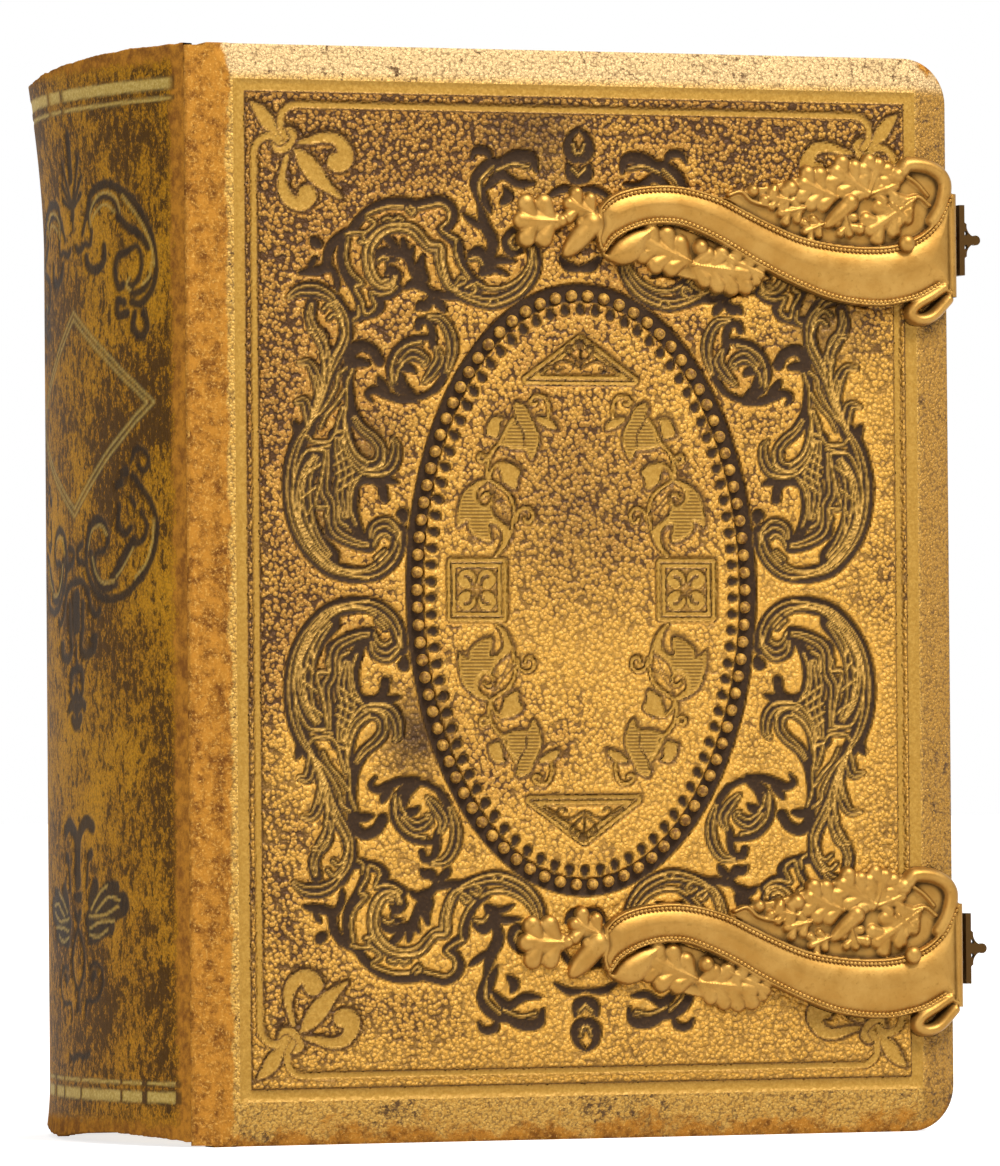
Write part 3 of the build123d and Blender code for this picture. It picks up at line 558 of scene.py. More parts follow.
SPRAY_STAMP = drawn_from(
    42.0,
    (2.2, [(566, -26), (612, -42), (660, -14), (684, 30)]),
    (2.6, [(680, 20), (684, 70), (680, 124)]),
    (1.7, [(576, 50), (594, 58)]),
    (1.0, [(600, 76), (612, 142)]),
    (1.5, [(660, 166), (684, 172)]),
    (1.4, [(664, 212), (684, 240)]),
    (3.8, [(378, 196), (440, 212), (520, 226), (586, 240)]),
    (2.6, [(420, 156), (476, 162), (550, 196)]),
    (2.4, [(446, 262), (520, 274), (584, 288)]),
    (2.6, [(548, 142), (578, 186)]),
    (1.0, [(684, 254), (650, 296), (630, 350), (652, 406), (684, 434)]),
    (1.7, [(560, 392), (570, 400)]),
    (0.9, [(584, 370), (546, 360), (506, 384), (504, 430), (548, 464), (616, 468)]),
    (0.9, [(620, 480), (626, 512)]),
    (1.1, [(600, 618), (640, 626), (684, 616)]),
    (0.8, [(684, 440), (692, 470), (672, 494)]),
)
SPRAY_LINES = lines_from(
    42.0,
    [(404, 204), (480, 226), (594, 228)],
    [(396, 186), (466, 180), (546, 216)],
    [(428, 246), (520, 246), (590, 262)],
    [(470, 146), (520, 164), (580, 208)],
    [(470, 270), (530, 286), (590, 280)],
)
SPINE_STAMPS = [
    (632, HEAD_STAMP, HEAD_LINES),
    (622, FOOT_STAMP, FOOT_LINES),
    (642, PENDANT_STAMP, []),
    (684, SPRAY_STAMP, SPRAY_LINES),
]

# Wear of the spine's ends: what the head has lost, what the tail has lost in its middle and at its back, the
# share of the width from which the skin grows whole to the back joint, and the heights past which it is worn
HEAD_LOSS, TAIL_LOSS, TAIL_BACK_LOSS = 2.3, 1.5, 1.6
WHOLE_FROM = 0.86
WORN_HEAD, WORN_TAIL = 147.2, 5.6

# Colours of the finishes, beside those that the panel offers
GILT_DARKENED, GILT_BRIGHT = (0.37, 0.165, 0.024), (0.8, 0.46, 0.105)
HOLLOW_BROWN, STAIN_AND_SHADOW_BROWN, RIM_AND_SHADE_BROWN = (0.075, 0.03, 0.006), (0.055, 0.024, 0.007), (0.085, 0.036, 0.008)
INLAY_DULL, INLAY_BRIGHT, STRIPE_BROWN = (0.37, 0.19, 0.025), (0.52, 0.295, 0.056), (0.17, 0.08, 0.01)
STAMP_RUBBED = (0.1, 0.052, 0.02)
BEVEL_DULL, BEVEL_BRIGHT, BEVEL_FORE = (0.52, 0.27, 0.045), (0.72, 0.44, 0.11), (0.36, 0.175, 0.028)
BEVEL_HEAD_LIT, BEVEL_SPECK, BEVEL_HOLLOW = (0.68, 0.47, 0.23), (0.1, 0.05, 0.018), (0.13, 0.065, 0.02)
SUEDE_DARK, SUEDE_PALE = (0.17, 0.055, 0.008), (0.78, 0.42, 0.09)
SPINE_BROWN, SPINE_TAN, SPINE_TAIL = (0.45, 0.195, 0.008), (0.6, 0.28, 0.014), (0.52, 0.22, 0.018)
SPINE_GLINT, SPINE_SPECK, SPINE_HOLLOW = (0.5, 0.27, 0.03), (0.055, 0.024, 0.003), (0.09, 0.04, 0.007)
SPINE_SUEDE, SPINE_RIM, SPINE_STAMP = (0.24, 0.09, 0.018), (0.09, 0.045, 0.014), (0.034, 0.02, 0.01)
BAND_DULL, BAND_BRIGHT = (0.4, 0.26, 0.05), (0.6, 0.44, 0.14)
BRASS_PALE, BRASS_DARK, BRASS_TARNISH_AND_SHADE = (0.42, 0.235, 0.056), (0.27, 0.14, 0.025), (0.075, 0.036, 0.008)
BEAD_DARK, BEAD_BRIGHT = (0.16, 0.07, 0.013), (0.6, 0.32, 0.055)
EDGE_DULL, EDGE_BRIGHT = (0.36, 0.22, 0.06), (0.74, 0.54, 0.22)
CARD_DULL, CARD_PALE = (0.55, 0.48, 0.35), (0.66, 0.59, 0.45)
FLOOR_GREY, WHITE = (0.6, 0.6, 0.6), (1.0, 1.0, 1.0)
# How far the leather's pebbles stray from round
PEBBLE_WOBBLE = 0.00045

# Camera of the photograph's view: angles in degrees, distance in millimetres, lens as a share of the sensor's
# width, and the point in the picture's middle
VIEW_AZIMUTH, VIEW_ELEVATION, VIEW_ROLL = -21.1, -1.295, -0.465
VIEW_DISTANCE, LENS_SHARE, SENSOR_WIDTH = 1296.06, 9.0989, 36.0
VIEW_MIDDLE = (JOINT_X + 55.701, FRONT_Y + 29.25, 78.217)
# Lamps: place and size in metres, power in watts; all point at the album's middle
LAMPS = [
    ("key light", (0.28, -0.7, 1.15), 0.42, 21.5),
    ("fill light", (-1.1, -0.7, 0.45), 0.7, 4.5),
    ("top light", (0.05, 0.25, 1.2), 0.5, 3.8),
]
LAMP_AIM = (0, 0, 0.07)
ROOM_LIGHT = 0.22
FLOOR_REACH = 12.0


class AlbumLooks(bpy.types.PropertyGroup):
    """Sizes and colours of the album that a user would change."""

    stamp_depth: bpy.props.FloatProperty(
        name="Stamp depth", description="Depth of the dark stamping in the leather",
        default=0.42 * MM, unit="LENGTH",
    )
    gilt_colour: bpy.props.FloatVectorProperty(
        name="Gilt leather", description="Colour of the gilded leather", size=3, subtype="COLOR",
        default=(0.63, 0.315, 0.044),
    )
    stamp_colour: bpy.props.FloatVectorProperty(
        name="Stamping", description="Colour of the dark stamped lines", size=3, subtype="COLOR",
        default=(0.045, 0.026, 0.015),
    )
    line_colour: bpy.props.FloatVectorProperty(
        name="Raised lines", description="Colour of the raised gold lines", size=3, subtype="COLOR",
        default=(0.7, 0.4, 0.09),
    )
    suede_colour: bpy.props.FloatVectorProperty(
        name="Worn leather", description="Colour of leather with its surface gone", size=3, subtype="COLOR",
        default=(0.56, 0.235, 0.028),
    )
    brass_colour: bpy.props.FloatVectorProperty(
        name="Brass", description="Colour of the clasps", size=3, subtype="COLOR",
        default=(0.33, 0.165, 0.031),
    )
    bead_count: bpy.props.IntProperty(
        name="Beads", description="Beads round the oval", default=BEAD_COUNT, min=8
    )
    bead_radius: bpy.props.FloatProperty(
        name="Bead radius", description="Radius of one bead of the oval",
        default=BEAD_RADIUS * MM, unit="LENGTH",
    )
    rope_pitch: bpy.props.FloatProperty(
        name="Rope pitch", description="Length of one turn of the clasps' rope edge",
        default=0.62 * MM, unit="LENGTH",
    )


# Paths and brushes


def smooth_path(points, step=0.2):
    """Points close together along a smooth curve through the given points."""
    pts = np.array(points, float)
    ends = np.vstack([2 * pts[0] - pts[1], pts, 2 * pts[-1] - pts[-2]])
    out = []
    for before, start, end, after in zip(ends, ends[1:], ends[2:], ends[3:]):
        count = max(2, int(np.linalg.norm(end - start) / step) + 1)
        t = np.linspace(0, 1, count, endpoint=False)[:, None]
        out.append(
            0.5
            * (
                2 * start
                + (end - before) * t
                + (2 * before - 5 * start + 4 * end - after) * t**2
                + (3 * start - before - 3 * end + after) * t**3
            )
        )
    return np.vstack(out + [pts[-1:]])


def from_sheet(points, sheet, units):
    """Points of a drawing sheet as distances from the joint edge and from the tail."""
    return [(sheet[0] + x / units, sheet[1] - y / units) for x, y in points]


def window_at(field, origin, cell, place, reach):
    """Part of a field within reach of a place, and how far its columns and rows lie from that place."""
    spans = []
    for at, first, size in zip(place, origin, reversed(field.shape)):
        low = max(int((at - reach - first) / cell), 0)
        high = max(min(int((at + reach - first) / cell) + 2, size), 0)
        spans.append((slice(low, high), first + np.arange(low, high) * cell - at))
    (columns, across), (rows, up) = spans
    return field[rows, columns], across[None, :], up[:, None]


def brush(field, origin, cell, path, widths, soft, level=1.0):
    """Paints a soft-edged stroke along a path into a field, keeping what is higher."""
    for place, width in zip(path, widths):
        window, across, up = window_at(field, origin, cell, place, width / 2 + soft)
        cover = np.clip((width / 2 - np.hypot(across, up)) / soft + 0.5, 0, 1) * level
        np.maximum(window, cover, out=window)


def dome(field, origin, cell, path, radii, heights):
    """Raises a rounded ridge along a path in a field of heights."""
    for place, radius, height in zip(path, radii, heights):
        window, across, up = window_at(field, origin, cell, place, radius)
        share = (across**2 + up**2) / radius**2
        rise = np.where(share < 1, height * np.sqrt(np.clip(1 - share, 0, 1)), -1.0)
        np.maximum(window, rise, out=window)


def soft_edge(depth, soft=0.2):
    """One where a depth inside an edge is above zero, nothing outside, and soft between."""
    return np.clip(depth / soft + 0.5, 0, 1)


def eased(share, start, end):
    """Smooth rise from nothing at the start to one at the end."""
    rise = np.clip((share - start) / (end - start), 0, 1)
    return rise**2 * (3 - 2 * rise)


def shape_depth(across, up, outline):
    """Distance of each grid point inside a closed outline from its edge, and below zero outside."""
    px, pz = np.meshgrid(across, up)
    near = np.full(px.shape, 1e3)
    inside = np.zeros(px.shape, bool)
    for (ax, az), (bx, bz) in zip(outline, np.roll(outline, -1, axis=0)):
        span = max((bx - ax) ** 2 + (bz - az) ** 2, 1e-9)
        share = np.clip(((px - ax) * (bx - ax) + (pz - az) * (bz - az)) / span, 0, 1)
        near = np.minimum(near, np.hypot(px - ax - share * (bx - ax), pz - az - share * (bz - az)))
        crosses = (az > pz) != (bz > pz)
        inside ^= crosses & (px < ax + (pz - az) * (bx - ax) / (bz - az if bz != az else 1e-9))
    return np.where(inside, near, -near)


def blurred(field, radius, cell):
    """Field softened over a radius."""
    sigma = radius / cell / 2
    reach = max(int(3 * sigma), 1)
    weights = np.exp(-0.5 * (np.arange(-reach, reach + 1) / sigma) ** 2)
    weights /= weights.sum()
    padded = np.pad(field, reach, mode="edge")
    across = sum(w * padded[:, k : k + field.shape[1]] for k, w in enumerate(weights))
    return sum(w * across[k : k + field.shape[0], :] for k, w in enumerate(weights))


def sideways(path):
    """Unit steps to one side of a path at each of its points."""
    along = np.gradient(path, axis=0)
    along /= np.maximum(np.linalg.norm(along, axis=1), 1e-9)[:, None]
    return np.stack([along[:, 1], -along[:, 0]], axis=1)


def tapered(path, width):
    """Widths of a leaf-like stroke: broad in its middle, narrow at its ends."""
    share = np.linspace(0, 1, len(path))
    return width * (0.22 + 0.78 * np.sin(np.pi * np.clip(share * 0.94 + 0.03, 0, 1)) ** 0.75)


# Meshes


def new_piece(name, points, faces, material, attributes):
    """Mesh object from points in millimetres, with its named point attributes."""
    mesh = bpy.data.meshes.new(name)
    mesh.from_pydata([tuple(p) for p in np.asarray(points, float) * MM], [], [tuple(f) for f in faces])
    for label, values in attributes.items():
        layer = mesh.attributes.new(label, "FLOAT", "POINT")
        layer.data.foreach_set("value", np.asarray(values, np.float32).ravel())
    mesh.polygons.foreach_set("use_smooth", [True] * len(mesh.polygons))
    mesh.update()
    piece = bpy.data.objects.new(name, mesh)
    bpy.context.scene.collection.objects.link(piece)
    mesh.materials.append(material)
    return piece


def grid_faces(rows, columns, flip=False, start=0):
    """Faces of a grid of points stored row by row."""
    index = start + np.arange(rows * columns).reshape(rows, columns)
    quads = np.stack([index[:-1, :-1], index[:-1, 1:], index[1:, 1:], index[1:, :-1]], axis=-1)
    quads = quads.reshape(-1, 4)
    return quads[:, ::-1] if flip else quads


def fit(piece, body, slot, *nodes):
    """Lets a piece ride on its body and stand for its solids. Its slot is not used."""
    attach(piece, body)
    if nodes:
        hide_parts(*nodes)


# Materials


class Nodes:
    """A node tree under construction."""

    MIX_KINDS = {"RGBA": "Color", "FLOAT": "Float", "VECTOR": "Vector"}

    def __init__(self, tree):
        self.tree = tree

    def add(self, kind, inputs=None, **settings):
        node = self.tree.nodes.new(kind)
        for key, value in settings.items():
            setattr(node, key, value)
        for key, value in (inputs or {}).items():
            self.feed(node.inputs[key], value)
        return node

    def feed(self, socket, value):
        if isinstance(value, bpy.types.NodeSocket):
            self.tree.links.new(value, socket)
        elif hasattr(socket.default_value, "__len__") and len(socket.default_value) == 4 and len(value) == 3:
            socket.default_value = (*value, 1.0)
        else:
            socket.default_value = value

    def ramp(self, value, low, high, start=0.0, end=1.0):
        inputs = {"Value": value, "From Min": low, "From Max": high, "To Min": start, "To Max": end}
        return self.add("ShaderNodeMapRange", inputs, interpolation_type="SMOOTHSTEP").outputs["Result"]

    def math(self, operation, first, second=0.5):
        return self.add("ShaderNodeMath", {0: first, 1: second}, operation=operation).outputs[0]

    def mix(self, share, first, second, kind="RGBA"):
        """Mix of two values. Its sockets are found by identifier, because their names repeat."""
        node = self.add("ShaderNodeMix", data_type=kind)
        label = self.MIX_KINDS[kind]
        sockets = {socket.identifier: socket for socket in (*node.inputs, *node.outputs)}
        for key, value in (("Factor_Float", share), (f"A_{label}", first), (f"B_{label}", second)):
            self.feed(sockets[key], value)
        return sockets[f"Result_{label}"]

    def blend(self, share, first, second):
        return self.mix(share, first, second, "FLOAT")

    def background_rays(self):
        """One for the rays that show the background: the camera's, and those off gloss or through glass."""
        rays = self.add("ShaderNodeLightPath").outputs
        indirect = self.math("MAXIMUM", rays["Is Glossy Ray"], rays["Is Transmission Ray"])
        return self.math("MAXIMUM", rays["Is Camera Ray"], indirect)


class Finish(Nodes):
    """A material under construction."""

    def __init__(self, name):
        self.material = bpy.data.materials.new(name)
        self.material.use_nodes = True
        super().__init__(self.material.node_tree)
        self.shader = self.tree.nodes["Principled BSDF"]
        self.place = self.add("ShaderNodeTexCoord").outputs["Object"]

    def noise(self, scale, detail=4.0, roughness=0.6, distortion=0.0, place=None):
        inputs = {
            "Vector": place or self.place, "Scale": scale, "Detail": detail,
            "Roughness": roughness, "Distortion": distortion,
        }
        return self.add("ShaderNodeTexNoise", inputs).outputs["Fac"]

    def attribute(self, name):
        return self.add("ShaderNodeAttribute", attribute_name=name).outputs["Fac"]

    def pebble(self, scale):
        """Distance of each point from the middle of its pebble in the leather's grain."""
        wobble = self.add("ShaderNodeTexNoise", {"Vector": self.place, "Scale": scale * 0.8}).outputs["Color"]
        moved = self.mix(PEBBLE_WOBBLE, self.place, wobble, "VECTOR")
        cells = self.add("ShaderNodeTexVoronoi", {"Vector": moved, "Scale": scale}, feature="F1")
        return cells.outputs["Distance"]

    def bump(self, height, strength, distance, below=None):
        inputs = {"Height": height, "Strength": strength, "Distance": distance}
        if below is not None:
            inputs["Normal"] = below
        return self.add("ShaderNodeBump", inputs).outputs["Normal"]

    def finish(self, **sockets):
        for key, value in sockets.items():
            self.feed(self.shader.inputs[key.replace("_", " ")], value)
        return self.material


def gilt_leather(looks):
    """Gilded pebbled leather with dark stamping, matte gilt fields and bright raised lines."""
    f = Finish("gilt leather")
    dark, gilt, gold = (f.attribute(name) for name in ("dark", "gilt", "gold"))
    rim, calm, stripes = (f.attribute(name) for name in ("rim", "calm", "stripes"))
    pebbles = f.pebble(1550.0)
    hollow = f.ramp(f.math("SUBTRACT", pebbles, f.math("MULTIPLY", calm, 0.15)), 0.43, 0.66)
    fine = f.noise(2300.0, 3.0, 0.7)
    patches = f.ramp(f.noise(38.0, 5.0, 0.6), 0.2, 0.8, 0.28, 0.72)
    darkening = f.math("ADD", patches, f.math("MULTIPLY", f.noise(420.0, 5.0, 0.7), 0.55))
    spot = f.add("ShaderNodeSeparateXYZ", {0: f.place}).outputs
    # Random patches, and darker towards the top and towards the joint edge
    darkening = f.math("ADD", darkening, f.ramp(spot["Z"], 0.02, 0.15, -0.22, 0.15))
    darkening = f.math("ADD", darkening, f.ramp(spot["X"], -0.05, 0.03, 0.2, -0.04))
    tone = f.mix(f.ramp(darkening, 0.68, 1.05), looks.gilt_colour, GILT_DARKENED)
    tone = f.mix(f.ramp(fine, 0.45, 0.8), tone, GILT_BRIGHT)
    shade = f.math("MULTIPLY", hollow, f.ramp(darkening, 0.5, 0.95, 0.3, 1.0))
    tone = f.mix(shade, tone, HOLLOW_BROWN)
    ragged = f.math("MULTIPLY", f.noise(500.0, 5.0, 0.7), 0.008)
    # Dark stains, and the painted shadow under the upper clasp
    for x, z, radius, strength in STAINS_AND_SHADOW:
        place = ((JOINT_X + x) * MM, FRONT_Y * MM, z * MM)
        away = f.add("ShaderNodeVectorMath", {0: f.place, 1: place}, operation="DISTANCE").outputs["Value"]
        stain_and_shadow = f.ramp(f.math("ADD", away, ragged), 0.004, 0.005 + radius * MM, strength, 0.0)
        stain_and_shadow = f.math("MULTIPLY", stain_and_shadow, f.ramp(pebbles, 0.1, 0.4, 0.75, 1.0))
        tone = f.mix(stain_and_shadow, tone, STAIN_AND_SHADOW_BROWN)
    lined = f.math("SINE", f.math("MULTIPLY", spot["Z"], 2 * math.pi / (STRIPE_PITCH * MM)))
    lined = f.math("MULTIPLY", f.ramp(lined, -0.2, 0.6), stripes)
    flat = f.mix(f.ramp(fine, 0.3, 0.8), INLAY_DULL, INLAY_BRIGHT)
    flat = f.mix(f.math("MULTIPLY", lined, 0.75), flat, STRIPE_BROWN)
    # Dark rims round the sunk gilt: tooled outlines, and painted shade on the walls of the sunk shapes
    tone = f.mix(f.math("MULTIPLY", rim, 0.9), tone, RIM_AND_SHADE_BROWN)
    tone = f.mix(gilt, tone, flat)
    ink = f.mix(f.ramp(fine, 0.5, 0.85), looks.stamp_colour, STAMP_RUBBED)
    tone = f.mix(dark, tone, ink)
    tone = f.mix(gold, tone, looks.line_colour)
    smoothness = f.math("MAXIMUM", gilt, dark)
    grain = f.math("SUBTRACT", f.math("MULTIPLY", fine, 0.3), pebbles)
    still = f.math("MAXIMUM", f.math("MULTIPLY", smoothness, 0.88), f.math("MULTIPLY", calm, 0.72))
    grain = f.math("MULTIPLY", grain, f.math("SUBTRACT", 1.0, still))
    grain = f.math("SUBTRACT", grain, f.math("MULTIPLY", lined, 0.3))
    pressed = f.bump(f.math("SUBTRACT", 1.0, smoothness), 1.0, 0.0006)
    return f.finish(
        Base_Color=tone, Metallic=f.blend(dark, 0.2, 0.0), Roughness=f.blend(dark, 0.46, 0.6),
        Specular_IOR_Level=f.blend(dark, 0.2, 0.04), Normal=f.bump(grain, 1.0, 0.0006, pressed),
    )


def bevel_leather(looks):
    """Gilded leather of the bevels and turn-ins, rubbed to tan suede at the joint, tail and corners."""
    f = Finish("bevel leather")
    worn = f.attribute("worn")
    pebbles = f.pebble(2300.0)
    fine = f.noise(2000.0, 4.0, 0.7)
    blotch = f.noise(160.0, 6.0, 0.7)
    tone = f.mix(f.ramp(fine, 0.35, 0.75), BEVEL_DULL, BEVEL_BRIGHT)
    spot = f.add("ShaderNodeSeparateXYZ", {0: f.place}).outputs
    fore, head = FORE_X * MM, COVER_HEIGHT * MM
    tone = f.mix(f.ramp(spot["X"], fore - 0.0062, fore - 0.0045, 0.0, 0.75), tone, BEVEL_FORE)
    # Paler towards the head: painted light from above on the head bevel
    tone = f.mix(f.ramp(spot["Z"], head - 0.0055, head - 0.0035, 0.0, 0.8), tone, BEVEL_HEAD_LIT)
    speck = f.math("ADD", f.noise(900.0, 4.0, 0.75), f.math("MULTIPLY", f.noise(90.0, 4.0, 0.6), 0.5))
    tone = f.mix(f.ramp(speck, 0.8, 0.95), tone, BEVEL_SPECK)
    tone = f.mix(f.ramp(pebbles, 0.5, 0.8, 0.0, 0.6), tone, BEVEL_HOLLOW)
    edge = f.ramp(f.math("ADD", worn, f.math("MULTIPLY", f.math("SUBTRACT", blotch, 0.5), 1.3)), 0.42, 0.6)
    suede = f.mix(f.ramp(f.noise(520.0, 6.0, 0.75), 0.32, 0.6), SUEDE_DARK, looks.suede_colour)
    suede = f.mix(f.ramp(f.noise(2600.0, 2.0, 0.6), 0.5, 0.8), suede, SUEDE_PALE)
    tone = f.mix(edge, tone, suede)
    grain = f.math("SUBTRACT", f.math("MULTIPLY", fine, 0.4), pebbles)
    height = f.blend(edge, grain, f.noise(1300.0, 6.0, 0.8))
    return f.finish(
        Base_Color=tone, Metallic=f.blend(edge, 0.25, 0.0), Roughness=f.blend(edge, 0.45, 0.9),
        Specular_IOR_Level=0.15, Normal=f.bump(height, 0.8, 0.0003),
    )


def spine_leather(looks):
    """Rubbed brown leather of the spine with gilt bands and dark stamped ornament."""
    f = Finish("spine leather")
    dark, gilt, worn, rim = (f.attribute(name) for name in ("dark", "gilt", "worn", "rim"))
    stretch = f.add("ShaderNodeMapping", {"Vector": f.place, "Scale": (1.0, 1.0, 0.6)}).outputs["Vector"]
    streak = f.noise(900.0, 6.0, 0.8, 0.3, stretch)
    patches = f.noise(55.0, 5.0, 0.65)
    fine = f.noise(2200.0, 4.0, 0.7)
    grain = f.math("MULTIPLY", f.ramp(f.pebble(2500.0), 0.4, 0.66), f.ramp(patches, 0.3, 0.62, 0.95, 0.35))
    high = f.add("ShaderNodeSeparateXYZ", {0: f.place}).outputs["Z"]
    tone = f.mix(f.ramp(patches, 0.4, 0.7), SPINE_BROWN, SPINE_TAN)
    tone = f.mix(f.ramp(high, 0.0, 0.06, 0.55, 0.0), tone, SPINE_TAIL)
    tone = f.mix(f.ramp(fine, 0.5, 0.8), tone, SPINE_GLINT)
    speck = f.math("ADD", streak, f.math("MULTIPLY", f.math("SUBTRACT", patches, 0.5), -0.5))
    tone = f.mix(f.ramp(speck, 0.47, 0.56, 0.0, 0.95), tone, SPINE_SPECK)
    tone = f.mix(grain, tone, SPINE_HOLLOW)
    edge = f.ramp(f.math("ADD", worn, f.math("MULTIPLY", f.math("SUBTRACT", streak, 0.5), 1.5)), 0.4, 0.62)
    suede = f.mix(f.ramp(f.noise(460.0, 6.0, 0.75), 0.35, 0.62), SPINE_SUEDE, looks.suede_colour)
    tone = f.mix(edge, tone, suede)
    tone = f.mix(f.math("MULTIPLY", rim, 0.8), tone, SPINE_RIM)
    tone = f.mix(f.math("MULTIPLY", dark, 0.94), tone, SPINE_STAMP)
    tone = f.mix(gilt, tone, f.mix(f.ramp(fine, 0.35, 0.75), BAND_DULL, BAND_BRIGHT))
    height = f.math("ADD", f.math("MULTIPLY", streak, 0.8), f.math("MULTIPLY", fine, 0.5))
    return f.finish(
        Base_Color=tone, Metallic=f.math("MULTIPLY", gilt, 0.4), Roughness=f.blend(edge, 0.55, 0.85),
        Specular_IOR_Level=0.05, Normal=f.bump(height, 0.7, 0.0003),
    )


def stamped_brass(looks, name="stamped brass", tarnish_and_shade=0.0):
    """Polished brass, dark in its hollows with tarnish and painted shade."""
    f = Finish(name)
    hollow = f.attribute("hollow")
    smear = f.noise(240.0, 5.0, 0.65)
    fine = f.noise(1400.0, 3.0, 0.6)
    tone = f.mix(f.ramp(smear, 0.3, 0.75), looks.brass_colour, BRASS_PALE)
    tone = f.mix(f.ramp(fine, 0.55, 0.8), tone, BRASS_DARK)
    # Tarnish and painted shade in the hollows; a large shift paints a whole part dark
    depth = f.math("ADD", hollow, f.math("MULTIPLY", f.math("SUBTRACT", smear, 0.5), 0.5))
    tone = f.mix(f.ramp(depth, 0.2 - tarnish_and_shade, 0.9 - tarnish_and_shade), tone, BRASS_TARNISH_AND_SHADE)
    rough = f.math("ADD", f.math("MULTIPLY", smear, 0.22), 0.36)
    return f.finish(
        Base_Color=tone, Metallic=0.9, Roughness=f.math("ADD", rough, f.math("MULTIPLY", hollow, 0.25)),
        Normal=f.bump(fine, 0.3, 0.0001),
    )


def bead_gilt():
    """Rubbed gilt of the raised beads."""
    f = Finish("bead gilt")
    fine = f.noise(1300.0, 4.0, 0.7)
    return f.finish(
        Base_Color=f.mix(f.ramp(fine, 0.36, 0.66), BEAD_DARK, BEAD_BRIGHT), Metallic=0.25, Roughness=0.45,
        Specular_IOR_Level=0.2, Normal=f.bump(fine, 0.7, 0.0003),
    )


def leaf_card():
    """Card leaves: gilt on their cut edges, cream on their faces."""
    f = Finish("gilt edged leaves")
    side = f.add("ShaderNodeSeparateXYZ", {0: f.add("ShaderNodeTexCoord").outputs["Normal"]}).outputs["Y"]
    face = f.ramp(f.math("ABSOLUTE", side), 0.8, 0.95)
    fine = f.noise(900.0, 4.0, 0.6)
    stretch = f.add("ShaderNodeMapping", {"Vector": f.place, "Scale": (1.0, 14.0, 1.0)}).outputs["Vector"]
    streak = f.noise(160.0, 4.0, 0.65, 0.0, stretch)
    gilt = f.mix(f.ramp(streak, 0.32, 0.7), EDGE_DULL, EDGE_BRIGHT)
    paper = f.mix(f.ramp(fine, 0.35, 0.7), CARD_DULL, CARD_PALE)
    return f.finish(
        Base_Color=f.mix(face, gilt, paper), Metallic=f.blend(face, 0.7, 0.0),
        Roughness=f.blend(face, 0.38, 0.75), Normal=f.bump(streak, 0.3, 0.0002),
    )


def plain_finish(name, low, high, scale, roughness):
    """Mottled finish of a hidden or plain piece."""
    f = Finish(name)
    mottle = f.noise(scale, 6.0, 0.65)
    fine = f.noise(scale * 8, 3.0, 0.6)
    return f.finish(
        Base_Color=f.mix(f.ramp(mottle, 0.35, 0.68), low, high), Metallic=0.0, Roughness=roughness,
        Normal=f.bump(fine, 0.3, 0.0002),
    )


# Panel of the covers


